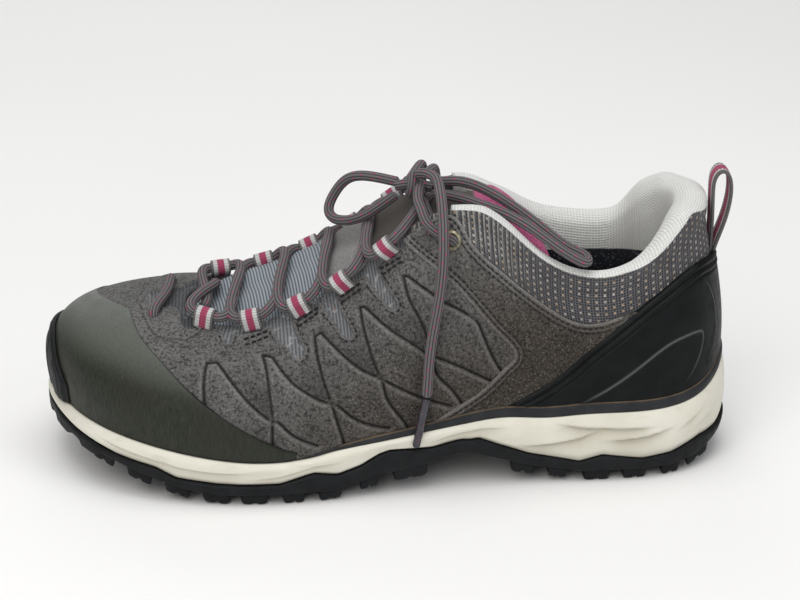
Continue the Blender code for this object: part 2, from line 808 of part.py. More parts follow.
def bridge(start, leave, end, arrive, lift, count=7):
    """A lace from one place to another, leaving and arriving in given directions, arched by lift."""
    s = np.linspace(0, 1, count)[:, None]
    reach = 0.24 * np.linalg.norm(end - start)
    first, second = start + reach * leave, end - reach * arrive
    line = (1 - s) ** 3 * start + 3 * (1 - s) ** 2 * s * first + 3 * (1 - s) * s**2 * second + s**3 * end
    return line + 4 * lift * s * (1 - s) * UP


def tongue_top(along):
    rows = Curve(TONGUE)(np.linspace(0, len(TONGUE) - 1, 100))
    return np.interp(-along, -rows[:, 0], rows[:, 2])


def crossing_lift(start, end, leave, arrive):
    """How far the middle of a crossing has to rise to lie on the tongue."""
    middle = bridge(start, leave, end, arrive, 0.0, 3)[1]
    return max(tongue_top(middle[0]) + LACE / 2 + 3 * GAP - middle[2], 2 * GAP)


OVER_LIFT = 1.2
FRONT_START = {-1: (205.0, -8.5, 64.8), 1: (201.0, 12.6, 66.6)}
TOP_END = {-1: (115.5, -16.5, 100.4), 1: (111.5, 16.0, 100.2)}


def lace_ends(row, side):
    """Where a crossing meets the throat's edge in a row, the lace's direction there and its straight run."""
    if row == 0:
        return np.array(FRONT_START[side]), np.array((-0.7, -0.7 * side, 0.14)), 0.0
    if row > len(LACE_ROWS):
        return np.array(TOP_END[side]), np.array((-0.6, 0.7 * side, -0.39)), 0.0
    along = LACE_ROWS[row - 1]
    return loop_centre(side, along), throat_frame(side, along)[1], LOOP_LENGTH / 2 + 2 * GAP


def build_crossing(row):
    """Two laces that cross on the tongue between one row and the next, joined where they meet."""
    strands = []
    for side in SIDES:
        start, leave, first_run = lace_ends(row, side)
        end, arrive, last_run = lace_ends(row + 1, -side)
        start, end = start + GAP * leave, end - GAP * arrive
        first, last = start + first_run * leave, end - last_run * arrive
        lift = crossing_lift(first, last, leave, arrive) + OVER_LIFT * (side > 0)
        middle = bridge(first, leave, last, arrive, lift)
        path = [start] * (first_run > 0) + list(middle) + [end] * (last_run > 0)
        strands.append(loft(f"lace_cross_{row + 1}", tube_loops(path, LACE / 2), "lace_braid"))
    return boolean(strands[0], strands[1:], "UNION")


def build_front_bar():
    """The lace from one punched hole to the other in front of the throat."""
    ends = {side: skin(*FRONT_HOLE[side], LACE / 2 + 1.2) for side in SIDES}
    feet = {side: skin(*FRONT_HOLE[side], GAP + 0.5) for side in SIDES}
    middle = skin(-0.1, 0.93, LACE / 2 + 1.0)
    bends = {side: end + 0.12 * (middle - end) for side, end in ends.items()}
    route = [feet[-1], bends[-1], middle, bends[1], feet[1]]
    path = Curve(route)(np.linspace(0, len(route) - 1, 13))
    return loft("lace_bar_front", tube_loops(path, LACE / 2), "lace_braid")


EYELET_RADIUS = 4.8
EYELET_TALL = 0.9


def eyelet_place(side):
    u = edge_station(side, TOP_ROW)
    return u, 0.88


def build_eyelet(side):
    """A pressed ring on the wall round the top lace hole."""
    u, t = eyelet_place(side)
    normal = wall_normal(u, t)
    across = np.cross(normal, UP)
    across /= np.linalg.norm(across)
    other = np.cross(normal, across)
    turn = 2 * np.pi * np.arange(12) / 12

    def ring(radius, offset):
        flat = np.outer(np.cos(turn), across) + np.outer(np.sin(turn), other)
        return skin(u, t, offset) + radius * flat

    base = SEAT + QUARTER_THICK + GAP
    rings = [
        ring(LACE_HOLE, base),
        ring(LACE_HOLE, base + 0.7 * EYELET_TALL),
        ring((LACE_HOLE + EYELET_RADIUS) / 2, base + EYELET_TALL),
        ring(EYELET_RADIUS, base),
    ]
    return loft(f"eyelet_{SIDES[side]}", rings, "eyelet_metal", closed=True)


# Knot, bow and ends of the lace

KNOT = np.array((122.5, 0.0, 111.2))
KNOT_SIZE = np.array((6.0, 5.5, 4.0))
BOW_FRONT = (
    # along, side, height
    (128.2, 2.2, 111.2),
    (140.5, 9.0, 111.6),
    (148.0, 13.0, 108.8),
    (152.6, 14.5, 102.8),
    (155.0, 13.0, 97.2),
    (153.2, 9.0, 94.4),
    (148.0, 4.0, 95.2),
    (140.5, 1.0, 98.8),
    (129.4, -1.2, 107.4),
)
BOW_REAR = (
    (116.0, 1.5, 111.0),
    (105.0, -1.0, 112.2),
    (95.6, -5.0, 110.2),
    (86.0, -11.0, 106.0),
    (75.4, -18.0, 99.6),
    (65.6, -24.0, 93.4),
    (59.0, -27.6, 90.8),
    (59.6, -31.8, 89.8),
    (68.6, -30.0, 94.6),
    (78.4, -24.6, 100.6),
    (88.0, -18.2, 104.6),
    (97.6, -11.4, 106.4),
    (106.4, -6.0, 107.6),
    (115.8, -3.6, 108.4),
)
END_OUTER = (
    (121.8, -3.2, 116.0),
    (119.0, -5.6, 117.4),
    (115.6, -10.4, 117.8),
    (114.0, -18.0, 116.8),
    (113.6, -30.6, 112.8),
    (113.6, -39.8, 103.8),
    (114.2, -43.4, 91.0),
    (115.8, -43.8, 78.0),
    (117.8, -44.8, 66.8),
    (119.2, -45.6, 55.0),
    (120.0, -45.6, 41.6),
)
TAG_OUTER = ((120.1, -45.6, 41.0), (124.2, -45.8, 20.5))
END_INNER = (
    (124.0, 7.8, 109.4),
    (121.4, 13.0, 111.2),
    (118.8, 20.0, 111.8),
    (117.6, 27.6, 108.0),
    (117.6, 32.6, 100.4),
    (117.8, 34.6, 93.0),
)
TAG_INNER = ((117.8, 34.8, 92.4), (118.6, 36.8, 74.0))
TAIL = {
    -1: ((118.0, -31.4, 104.8), (120.6, -24.6, 108.4), (121.6, -14.0, 109.8)),
    1: ((111.6, 32.4, 100.6), (112.8, 27.0, 107.6), (116.6, 14.0, 110.8)),
}
TAG = 3.6
CORD_STEP = 2.5


def build_cord(name, route, diameter):
    """A round cord along a smooth curve through its route."""
    smooth = Curve(route)(np.linspace(0, len(route) - 1, 40 * len(route)))
    length = np.concatenate([[0], np.cumsum(np.linalg.norm(np.diff(smooth, axis=0), axis=1))])
    count = max(int(length[-1] / (CORD_STEP * diameter)), 1) + 1
    marks = np.linspace(0, length[-1], count)
    points = to_frame(np.stack([np.interp(marks, length, smooth[:, k]) for k in range(3)], -1))
    curve = bpy.data.curves.new(name, "CURVE")
    curve.dimensions = "3D"
    curve.bevel_depth = diameter / 2 * MM
    curve.bevel_resolution = 2
    curve.use_fill_caps = True
    spline = curve.splines.new("POLY")
    spline.points.add(count - 1)
    for point, place in zip(spline.points, points):
        point.co = (*place, 1)
    return add_object(name, curve, "lace_braid")


def build_knot():
    """The tied lump with the two laces that reach it from the top eyelets."""
    turn = np.linspace(0, 2 * np.pi, 10, endpoint=False)
    loops = []
    for polar in np.linspace(-0.94, 0.94, 6) * np.pi / 2:
        flat = np.cos(polar)
        ring = np.stack([np.cos(turn) * flat, np.sin(turn) * flat, 0 * turn + np.sin(polar)], -1)
        loops.append(KNOT + KNOT_SIZE * ring)
    lump = loft("lace_knot", loops, "lace_braid", smooth_angle=80)
    tails = []
    for side in SIDES:
        u, t = eyelet_place(side)
        route = [skin(u, t, 0.0), skin(u, t, 2.6), skin(u, t, 4.4), *TAIL[side], KNOT]
        path = Curve(route)(np.linspace(0, len(route) - 1, 12))
        tails.append(loft(f"lace_tail_{SIDES[side]}", tube_loops(path, LACE / 2), "lace_braid"))
    return boolean(lump, tails, "UNION")


def build_laces():
    build_front_bar()
    for row in range(len(LACE_ROWS) + 1):
        build_crossing(row)
    build_knot()
    build_cord("lace_bow_front", BOW_FRONT, LACE)
    build_cord("lace_bow_rear", BOW_REAR, LACE)
    build_cord("lace_end_outer", END_OUTER, LACE)
    build_cord("lace_end_inner", END_INNER, LACE)
    build_cord("lace_tag_outer", TAG_OUTER, TAG)
    build_cord("lace_tag_inner", TAG_INNER, TAG)


def clear():
    for thing in list(bpy.data.objects):
        bpy.data.objects.remove(thing)


def main():
    clear()
    build_midsole()
    build_outsole()
    build_insole()
    build_band()
    build_upper()
    build_overlays()
    build_collar()
    build_tongue()
    build_pull_loop()
    build_loops()
    for side in SIDES:
        build_eyelet(side)
    build_laces()


if __name__ == "__main__":
    main()
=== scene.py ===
"""Low-cut hiking shoe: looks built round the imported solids.

The tables are in millimetres and use the same stations and routes as the part's own source. "Along" runs
from the back of the heel to the toe, "side" is positive towards the inner side of the foot, "height" starts
at the floor. A place on the upper is a station u, positive on the outer side and negative on the inner side,
and t from 0 at the sole to 1 at the throat or collar.
"""

import bpy
import numpy as np
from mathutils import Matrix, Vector


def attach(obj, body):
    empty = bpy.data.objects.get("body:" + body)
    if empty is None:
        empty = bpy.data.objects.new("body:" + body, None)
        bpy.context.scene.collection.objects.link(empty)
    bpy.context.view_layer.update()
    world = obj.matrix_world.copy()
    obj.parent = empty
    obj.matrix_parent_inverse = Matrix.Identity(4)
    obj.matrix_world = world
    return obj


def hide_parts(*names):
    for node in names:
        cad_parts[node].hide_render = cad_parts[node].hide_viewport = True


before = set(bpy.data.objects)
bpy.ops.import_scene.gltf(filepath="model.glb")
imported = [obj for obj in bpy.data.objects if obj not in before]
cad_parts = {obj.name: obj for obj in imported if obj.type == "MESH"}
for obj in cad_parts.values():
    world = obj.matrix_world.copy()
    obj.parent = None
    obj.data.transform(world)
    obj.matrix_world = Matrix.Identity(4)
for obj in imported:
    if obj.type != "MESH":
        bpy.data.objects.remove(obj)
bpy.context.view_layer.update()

MM = 0.001
# Clear space between neighbouring pieces
GAP = 0.3
# The frame's middle in the tables
MIDDLE_ALONG = 133.05
MIDDLE_SIDE = -3.8
# Thickness of the upper and diameter of the lace
WALL = 2.2
LACE = 4.0
SIDES = {-1: "outer", 1: "inner"}
UP = np.array((0.0, 0.0, 1.0))

# Camera and stage

CAMERA_TARGET = (5.25, 3.8, 63.0)
CAMERA_AZIMUTH = -3.0
CAMERA_ELEVATION = 22.0
CAMERA_DISTANCE = 1050.0
CAMERA_LENS = 120.6
CAMERA_SENSOR = 36.0


def add_camera():
    azimuth, elevation = np.radians((CAMERA_AZIMUTH, CAMERA_ELEVATION))
    back = Vector((
        np.sin(azimuth) * np.cos(elevation),
        -np.cos(azimuth) * np.cos(elevation),
        np.sin(elevation),
    ))
    data = bpy.data.cameras.new("camera")
    data.lens = CAMERA_LENS
    data.sensor_width = CAMERA_SENSOR
    camera = bpy.data.objects.new("camera", data)
    camera.location = (Vector(CAMERA_TARGET) + CAMERA_DISTANCE * back) * MM
    camera.rotation_mode = "QUATERNION"
    camera.rotation_quaternion = (-back).to_track_quat("-Z", "Y")
    bpy.context.scene.collection.objects.link(camera)
    bpy.context.scene.camera = camera


LIGHTS = (
    # name, place in metres, size in metres, power in watts, colour
    ("key", (-0.45, -1.15, 1.10), 1.3, 12.5, (1.0, 0.985, 0.96)),
    ("fill", (0.95, -0.75, 0.75), 0.9, 3.0, (0.96, 0.98, 1.0)),
    ("top", (0.0, -0.15, 1.6), 1.5, 13.5, (1.0, 1.0, 1.0)),
    ("back", (-0.3, 1.5, 0.75), 1.4, 5.5, (1.0, 1.0, 1.0)),
)
LIGHT_AIM = (0.0, 0.0, 0.05)
WORLD_COLOUR = (0.97, 0.98, 1.0, 1.0)
WORLD_STRENGTH = 0.26


def add_lights():
    aim = Vector(LIGHT_AIM)
    for name, place, size, power, colour in LIGHTS:
        data = bpy.data.lights.new(name, "AREA")
        data.shape = "DISK"
        data.size = size
        data.energy = power
        data.color = colour
        light = bpy.data.objects.new(name, data)
        light.location = place
        light.rotation_mode = "QUATERNION"
        light.rotation_quaternion = (aim - light.location).to_track_quat("-Z", "Y")
        bpy.context.scene.collection.objects.link(light)
    world = bpy.data.worlds.new("studio")
    world.use_nodes = True
    backdrop = world.node_tree.nodes["Background"]
    backdrop.inputs["Color"].default_value = WORLD_COLOUR
    backdrop.inputs["Strength"].default_value = WORLD_STRENGTH
    bpy.context.scene.world = world
    bpy.context.scene.view_settings.view_transform = "Standard"


# Splines and the upper's own surface

STATION_COLUMNS = (
    "foot_along foot_side foot_height edge_along edge_side edge_height lean swell crown reach rim flare"
).split()
STATIONS = (
    (262.0, 9.0, 29.0, 212.0, 4.0, 64.0, 12, 0.60, 6, 0.56, 3.0, 4.5),
    (251.5, -20.0, 27.0, 211.0, -8.0, 63.5, 12, 0.56, 8, 0.48, 3.0, 4.2),
    (225.0, -41.0, 22.5, 203.0, -15.0, 62.5, 10, 0.50, 12, 0.46, 3.0, 3.5),
    (187.0, -49.0, 17.5, 185.0, -18.0, 63.0, 8, 0.46, 18, 0.44, 3.0, 3.0),
    (146.0, -45.5, 17.5, 149.0, -20.5, 81.0, 6, 0.44, 32, 0.40, 3.0, 2.5),
    (108.0, -38.5, 20.5, 110.0, -25.0, 109.5, 4, 0.38, 60, 0.38, 3.2, 3.0),
    (70.0, -33.5, 27.5, 77.0, -31.0, 88.0, 4, 0.36, 80, 0.36, 3.6, 4.0),
    (38.0, -31.5, 28.5, 44.0, -30.0, 80.0, 5, 0.36, 82, 0.36, 3.6, 4.5),
    (13.0, -21.5, 32.0, 18.0, -20.5, 96.0, 5, 0.36, 84, 0.36, 3.6, 4.2),
    (3.5, 0.0, 41.0, 9.5, 0.0, 101.0, 6, 0.36, 84, 0.36, 3.6, 4.2),
    (13.0, 21.5, 32.0, 18.0, 20.5, 97.0, 5, 0.36, 84, 0.36, 3.6, 4.2),
    (38.0, 31.0, 28.5, 44.0, 29.5, 81.5, 5, 0.36, 82, 0.36, 3.6, 4.5),
    (70.0, 30.0, 27.5, 76.0, 28.5, 87.5, 4, 0.36, 80, 0.36, 3.6, 4.0),
    (108.0, 29.0, 21.5, 106.0, 24.5, 106.0, 4, 0.38, 62, 0.38, 3.2, 3.0),
    (146.0, 33.0, 18.5, 144.0, 20.5, 85.0, 6, 0.44, 32, 0.40, 3.0, 2.5),
    (190.0, 40.0, 18.0, 180.0, 19.0, 69.0, 8, 0.46, 18, 0.44, 3.0, 3.0),
    (229.0, 40.0, 23.0, 199.0, 18.0, 66.0, 10, 0.52, 10, 0.46, 3.0, 3.5),
    (253.5, 29.0, 27.5, 209.0, 13.0, 65.0, 12, 0.58, 6, 0.50, 3.0, 4.2),
)
ROUND = len(STATIONS)


class Curve:
    """A cubic spline through rows of numbers, one unit of its parameter from row to row."""

    def __init__(self, rows, closed=False):
        self.rows = np.array(rows, float)
        self.closed = closed
        count = len(self.rows)
        system = 4 * np.eye(count) + np.eye(count, k=1) + np.eye(count, k=-1)
        pull = 6 * (np.roll(self.rows, -1, 0) - 2 * self.rows + np.roll(self.rows, 1, 0))
        if closed:
            system[0, -1] = 1
            system[-1, 0] = 1
        else:
            system[0, :2] = (1, 0)
            system[-1, -2:] = (0, 1)
            pull[[0, -1]] = 0
        self.bend = np.linalg.solve(system, pull)

    def __call__(self, u):
        u = np.asarray(u, float)
        count = len(self.rows)
        first = np.floor(u).astype(int)
        if not self.closed:
            first = np.clip(first, 0, count - 2)
        b = (u - first)[..., None]
        a = 1 - b
        i = first % count
        j = (first + 1) % count
        bent = (a**3 - a) * self.bend[i] + (b**3 - b) * self.bend[j]
        return a * self.rows[i] + b * self.rows[j] + bent / 6


SECTIONS = Curve(STATIONS, closed=True)


def smooth_line(rows, fine=10):
    """A table's rows with spline points between them."""
    return Curve(rows)(np.linspace(0, len(rows) - 1, fine * (len(rows) - 1) + 1))


def column(u, name):
    return SECTIONS(u)[..., STATION_COLUMNS.index(name)]


def foot_line(u):
    return SECTIONS(u)[..., 0:3]


def edge_line(u):
    return SECTIONS(u)[..., 3:6]


def unit(vectors):
    return vectors / np.linalg.norm(vectors, axis=-1, keepdims=True)


def outward(line, u):
    """The level unit vector that points away from the foot, square to a line round it."""
    step = 0.02
    run = line(np.asarray(u) + step) - line(np.asarray(u) - step)
    return unit(np.stack([-run[..., 1], run[..., 0], 0 * run[..., 0]], -1))


def wall_point(u, t):
    """The outer face of the upper: t is 0 at the sole and 1 at the throat or collar."""
    u, t = np.broadcast_arrays(np.asarray(u, float), np.asarray(t, float))
    foot = foot_line(u)
    edge = edge_line(u)
    lean, crown = np.radians(column(u, "lean")), np.radians(column(u, "crown"))
    swell, reach = column(u, "swell"), column(u, "reach")
    out = outward(foot_line, u)
    chord = np.linalg.norm(edge - foot, axis=-1)
    climb = np.cos(lean)[..., None] * UP + np.sin(lean)[..., None] * out
    fall = np.cos(crown)[..., None] * out - np.sin(crown)[..., None] * UP
    low = foot + (chord * swell)[..., None] * climb
    high = edge + (chord * reach)[..., None] * fall
    t = t[..., None]
    s = 1 - t
    return s**3 * foot + 3 * s**2 * t * low + 3 * s * t**2 * high + t**3 * edge


def wall_line(places):
    """A line of places on the upper's outer face as points in space."""
    return wall_point(places[:, 0], places[:, 1])


def wall_normal(u, t):
    step = 0.01
    t = np.clip(np.asarray(t, float), 0, 1)
    around = wall_point(u + step, t) - wall_point(u - step, t)
    rise = wall_point(u, np.minimum(t + step, 1)) - wall_point(u, np.maximum(t - step, 0))
    return unit(np.cross(rise, around))


def skin(u, t, offset):
    """A point at a distance from the upper's outer face."""
    u, t, offset = np.broadcast_arrays(np.asarray(u, float), np.asarray(t, float), np.asarray(offset, float))
    return wall_point(u, t) + offset[..., None] * wall_normal(u, t)


def to_frame(points):
    """Table millimetres to metres in the shoe's own frame."""
    points = np.asarray(points, float)
    framed = np.stack([MIDDLE_ALONG - points[..., 0], points[..., 1] - MIDDLE_SIDE, points[..., 2]], -1)
    return framed * MM


def smooth_step(x):
    x = np.clip(x, 0, 1)
    return x * x * (3 - 2 * x)


def bell(x, middle, width):
    return np.exp(-(((x - middle) / width) ** 2))


def eased(count, share):
    """Numbers from 0 to 1 that crowd towards both ends."""
    line = np.linspace(0, 1, count)
    return share * smooth_step(line) + (1 - share) * line


def rolled(edge, width):
    """A quarter round over a width in from an edge, from 0 to 1."""
    return np.sqrt(np.clip(1 - (1 - np.minimum(edge / width, 1)) ** 2, 0, 1))


def read(rows, at):
    """The second column of a table at values of its first."""
    rows = np.asarray(rows)
    return np.interp(at, rows[:, 0], rows[:, 1])


def along_line(points):
    """Length from the start of a line to each of its points."""
    return np.concatenate([[0], np.cumsum(np.linalg.norm(np.diff(points, axis=0), axis=1))])


def at_marks(points, length, marks):
    """Points, or other rows of numbers, of a line at lengths from its start."""
    return np.stack([np.interp(marks, length, one) for one in np.transpose(points)], -1)


def resample(points, step):
    """Evenly spaced points on a line."""
    points = np.asarray(points, float)
    length = along_line(points)
    marks = np.linspace(0, length[-1], max(int(round(length[-1] / step)), 1) + 1)
    return at_marks(points, length, marks)


def even_ring(ring, count, softened):
    """A closed ring of points, spaced evenly and smoothed, with their lengths and the whole length."""
    closed = np.concatenate([ring, ring[:1]])
    length = along_line(closed)
    marks = np.linspace(0, length[-1], count, endpoint=False)
    even = at_marks(closed, length, marks)
    for _ in range(softened):
        even = 0.5 * even + 0.25 * (np.roll(even, 1, 0) + np.roll(even, -1, 0))
    return even, marks, length[-1]


def distance(points, line):
    """Shortest distance from each point to a line through a list of points."""
    flat = points.reshape(-1, points.shape[-1])
    best = np.full(len(flat), np.inf)
    for start, end in zip(line[:-1], line[1:]):
        run = end - start
        share = np.clip((flat - start) @ run / (run @ run), 0, 1)
        best = np.minimum(best, np.linalg.norm(flat - start - share[:, None] * run, axis=1))
    return best.reshape(points.shape[:-1])


def inside(u, t, loop):
    """Whether each place lies inside a closed loop of places."""
    found = np.zeros(np.shape(u), bool)
    for (u0, t0), (u1, t1) in zip(loop, np.roll(loop, -1, 0)):
        if t0 == t1:
            continue
        crosses = (t0 > t) != (t1 > t)
        found ^= crosses & (u < u0 + (t - t0) / (t1 - t0) * (u1 - u0))
    return found


# Meshes

def sheet_faces(rows, columns, closed_rows=False, closed_columns=False):
    """Four-sided faces of a grid of points."""
    i = np.arange(rows if closed_rows else rows - 1)
    j = np.arange(columns if closed_columns else columns - 1)
    i, j = np.meshgrid(i, j, indexing="ij")
    near, far = j, (j + 1) % columns
    here, there = i * columns, (i + 1) % rows * columns
    return np.stack([here + near, here + far, there + far, there + near], -1).reshape(-1, 4)


def end_faces(count, size):
    """Faces that close the first and the last loop of a loft straight across."""
    k = np.arange(size // 2 - 1)
    cap = np.stack([k, k + 1, size - 2 - k, size - 1 - k], -1)
    return np.concatenate([cap[:, ::-1], cap + (count - 1) * size])


def volume(points, faces):
    a, b, c, d = (points[faces[:, k]] for k in range(4))
    return (np.cross(b - a, c - a) * (a + b + c)).sum() + (np.cross(c - a, d - a) * (a + c + d)).sum()


def add_mesh(name, points, faces, material, values=None, corners=None, pick=None, replaces=(), slot=None):
    """A piece from table points and four-sided faces, turned outwards, that rides on the shoe.

    Values are named numbers for each point, corners for each face corner, and pick is each face's material.
    """
    points = to_frame(points).reshape(-1, 3)
    faces = np.asarray(faces)
    turned = volume(points, faces) < 0
    if turned:
        faces = faces[:, ::-1]
    mesh = bpy.data.meshes.new(name)
    mesh.vertices.add(len(points))
    mesh.vertices.foreach_set("co", points.astype(np.float32).ravel())
    mesh.loops.add(faces.size)
    mesh.loops.foreach_set("vertex_index", faces.astype(np.int32).ravel())
    mesh.polygons.add(len(faces))
    mesh.polygons.foreach_set("loop_start", np.arange(0, faces.size, 4, dtype=np.int32))
    mesh.update(calc_edges=True)
    for key, value in (values or {}).items():
        layer = mesh.attributes.new(key, "FLOAT", "POINT")
        layer.data.foreach_set("value", np.ravel(value).astype(np.float32))
    for key, value in (corners or {}).items():
        layer = mesh.attributes.new(key, "FLOAT", "CORNER")
        value = np.reshape(value, (-1, 4))
        layer.data.foreach_set("value", (value[:, ::-1] if turned else value).astype(np.float32).ravel())
    for one in material if isinstance(material, (list, tuple)) else [material]:
        mesh.materials.append(one)
    if pick is not None:
        mesh.polygons.foreach_set("material_index", np.asarray(pick, np.int32))
    mesh.shade_smooth()
    made = bpy.data.objects.new(name, mesh)
    bpy.context.scene.collection.objects.link(made)
    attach(made, "root")
    if replaces:
        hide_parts(*replaces)
    return made


def loft(name, loops, material, closed=False, **more):
    """A solid through closed loops of points, all of one even count."""
    loops = np.asarray(loops, float)
    count, size = loops.shape[:2]
    faces = sheet_faces(count, size, closed, True)
    if not closed:
        faces = np.concatenate([faces, end_faces(count, size)])
    return add_mesh(name, loops.reshape(-1, 3), faces, material, **more)


def merge(parts):
    """Several sets of points and faces as one."""
    points, faces, first = [], [], 0
    for some, these in parts:
        points.append(np.reshape(some, (-1, 3)))
        faces.append(np.asarray(these) + first)
        first += len(points[-1])
    return np.concatenate(points), np.concatenate(faces)


# Materials

class Nodes:
    """Builds the node tree of one material."""

    def __init__(self, name, roughness=0.6, **sockets):
        self.material = bpy.data.materials.new(name)
        self.material.use_nodes = True
        self.tree = self.material.node_tree
        self.shader = self.tree.nodes["Principled BSDF"]
        self.place = self.add("TexCoord").outputs["Object"]
        self.set("Roughness", roughness)
        for key, value in sockets.items():
            self.set(key.replace("_", " ").title().replace("Ior", "IOR"), value)

    def add(self, kind, inputs=(), **settings):
        node = self.tree.nodes.new("ShaderNode" + kind)
        for key, value in settings.items():
            setattr(node, key, value)
        for key, value in dict(inputs).items():
            self.plug(node.inputs[key], value)
        return node

    def plug(self, socket, value):
        if isinstance(value, bpy.types.NodeSocket):
            self.tree.links.new(value, socket)
        else:
            socket.default_value = value

    def set(self, key, value):
        self.plug(self.shader.inputs[key], value)

    def value(self, name):
        return self.add("Attribute", attribute_name=name).outputs["Fac"]

    def noise(self, size, detail=2.0, stretch=None):
        """Noise with features of a size in millimetres."""
        vector = self.place
        if stretch:
            vector = self.add("VectorMath", {0: vector, 1: stretch}, operation="MULTIPLY").outputs[0]
        node = self.add("TexNoise", {"Vector": vector, "Scale": 1 / (size * MM), "Detail": detail})
        return node.outputs["Fac"]

    def maths(self, operation, a, b=0.0, c=0.0):
        return self.add("Math", {0: a, 1: b, 2: c}, operation=operation).outputs[0]

    def span(self, value, low, high, start=0.0, end=1.0):
        """Maps low..high to start..end and clips it."""
        wanted = {"Value": value, "From Min": low, "From Max": high, "To Min": start, "To Max": end}
        return self.add("MapRange", wanted, clamp=True).outputs["Result"]

    def mix(self, share, a, b):
        node = self.add("Mix", data_type="RGBA")
        for socket, value in ((node.inputs[0], share), (node.inputs[6], a), (node.inputs[7], b)):
            self.plug(socket, (*value, 1) if isinstance(value, tuple) else value)
        return node.outputs[2]

    def wave(self, value, period):
        """A sine of a length in millimetres, from -1 to 1."""
        return self.maths("SINE", self.maths("MULTIPLY", value, 2 * np.pi / period))

    def times(self, a, b):
        return self.maths("MULTIPLY", a, b)

    def patches(self, a, b, size, low=0.3, high=0.7, most=1.0, detail=2.0):
        """The first tone with patches of the second, where noise of a size rises from low to high."""
        return self.mix(self.span(self.noise(size, detail), low, high, 0.0, most), a, b)

    def uneven(self, size, low, high):
        """Roughness that varies between two values over a size in millimetres."""
        self.set("Roughness", self.span(self.noise(size), 0.3, 0.7, low, high))

    def bump(self, height, depth):
        """Relief of a depth in millimetres."""
        node = self.add("Bump", {"Height": height, "Distance": depth * MM, "Strength": 1.0})
        self.set("Normal", node.outputs["Normal"])

    def colour(self, value):
        self.set("Base Color", (*value, 1) if isinstance(value, tuple) else value)

    def done(self):
        return self.material


def suede_material(name, light, warm, dark):
    """Napped leather: fine grain, pale edges from wear, painted highlights just below the pressed lines,
    painted shade in the lines and other hollows, and a warmer, darker tone low at the back that is partly
    painted shade.
    """
    n = Nodes(name, 0.95, sheen_weight=0.1, sheen_roughness=0.5, specular_ior_level=0.06)
    nap = n.noise(1.15, 4.0)
    fine = n.noise(0.65, 3.0)
    # Towards the warmer, darker tone low and towards the heel: partly warm colour, partly painted shade
    tone = n.mix(n.value("shade"), light, warm)
    pale = n.mix(0.30, tone, (0.50, 0.48, 0.46))
    tone = n.patches(tone, dark, 11.0, 0.35, 0.7, most=0.35, detail=3.0)
    tone = n.mix(n.span(nap, 0.36, 0.56, 0.72, 0.0), tone, dark)
    tone = n.mix(n.span(fine, 0.54, 0.72, 0.0, 0.62), tone, pale)
    # Paler: edges from wear, and painted highlights on the leaves just below the pressed lines
    tone = n.mix(n.times(n.value("wear_and_highlight"), n.span(fine, 0.3, 0.6, 0.35, 0.9)), tone, pale)
    # Painted shade in the pressed lines, their pits and recesses, under raised edges and at the foam's rim;
    # the vamp seam's own dark line
    n.colour(n.mix(n.value("dark"), tone, dark))
    n.bump(n.maths("MULTIPLY_ADD", n.noise(2.6), 0.8, nap), 0.35)
    return n


def add_gusset(n, light, dark):
    """Adds the striped woven gusset, where the piece says so, to a suede, with painted shade deep in the
    front of the throat.
    """
    base = n.shader.inputs["Base Color"].links[0].from_socket
    stripe = n.wave(n.value("run"), 1.35)
    thread = n.wave(n.value("down"), 0.9)
    weave = n.maths("MULTIPLY_ADD", thread, 0.4, stripe)
    tone = n.mix(n.span(weave, -0.9, 0.7), dark, light)
    pale = n.span(n.noise(2.2, 3.0, (1.0, 1.0, 0.35)), 0.56, 0.70, 0.0, 0.8)
    tone = n.mix(pale, tone, (0.34, 0.345, 0.35))
    orange = n.span(n.noise(1.6, 2.0, (1.0, 1.0, 0.3)), 0.68, 0.74, 0.0, 0.8)
    tone = n.mix(orange, tone, (0.30, 0.15, 0.07))
    # Painted shade deep in the front of the throat's opening
    tone = n.mix(n.times(n.value("deep"), 0.6), tone, (0.02, 0.022, 0.026))
    n.colour(n.mix(n.value("mesh"), base, tone))
    return n


def cuff_tones(n):
    """Colour and height of a dark woven textile with columns of pale flecks that fan out from the ankle."""
    run, down = n.value("run"), n.value("down")
    warp, weft = n.wave(run, 1.12), n.wave(down, 1.05)
    checks = n.maths("MAXIMUM", warp, n.times(weft, 0.8))
    column_line = n.span(n.wave(run, 3.36), 0.55, 0.9)
    fleck_line = n.span(n.wave(down, 2.5), 0.0, 0.6)
    fleck = n.times(column_line, fleck_line)
    tone = n.mix(n.span(checks, -0.4, 0.9), (0.012, 0.014, 0.022), (0.13, 0.127, 0.13))
    tone = n.patches(tone, (0.04, 0.04, 0.05), 7.0, 0.4, 0.7, most=0.45)
    warm = n.patches((0.50, 0.46, 0.42), (0.42, 0.31, 0.21), 6.0, 0.42, 0.6)
    tone = n.mix(n.times(fleck, n.span(n.noise(9.0), 0.3, 0.6, 0.5, 0.95)), tone, warm)
    streak = n.times(n.span(n.wave(run, 2.24), 0.1, 0.9), n.value("streak"))
    tone = n.mix(n.times(streak, 0.75), tone, (0.36, 0.35, 0.33))
    return tone, n.maths("MULTIPLY_ADD", fleck, 0.8, n.times(checks, 0.5))


def cuff_material():
    n = Nodes("cuff_weave", 0.85, sheen_weight=0.1, specular_ior_level=0.15)
    tone, height = cuff_tones(n)
    n.colour(tone)
    n.bump(height, 0.35)
    return n.done()


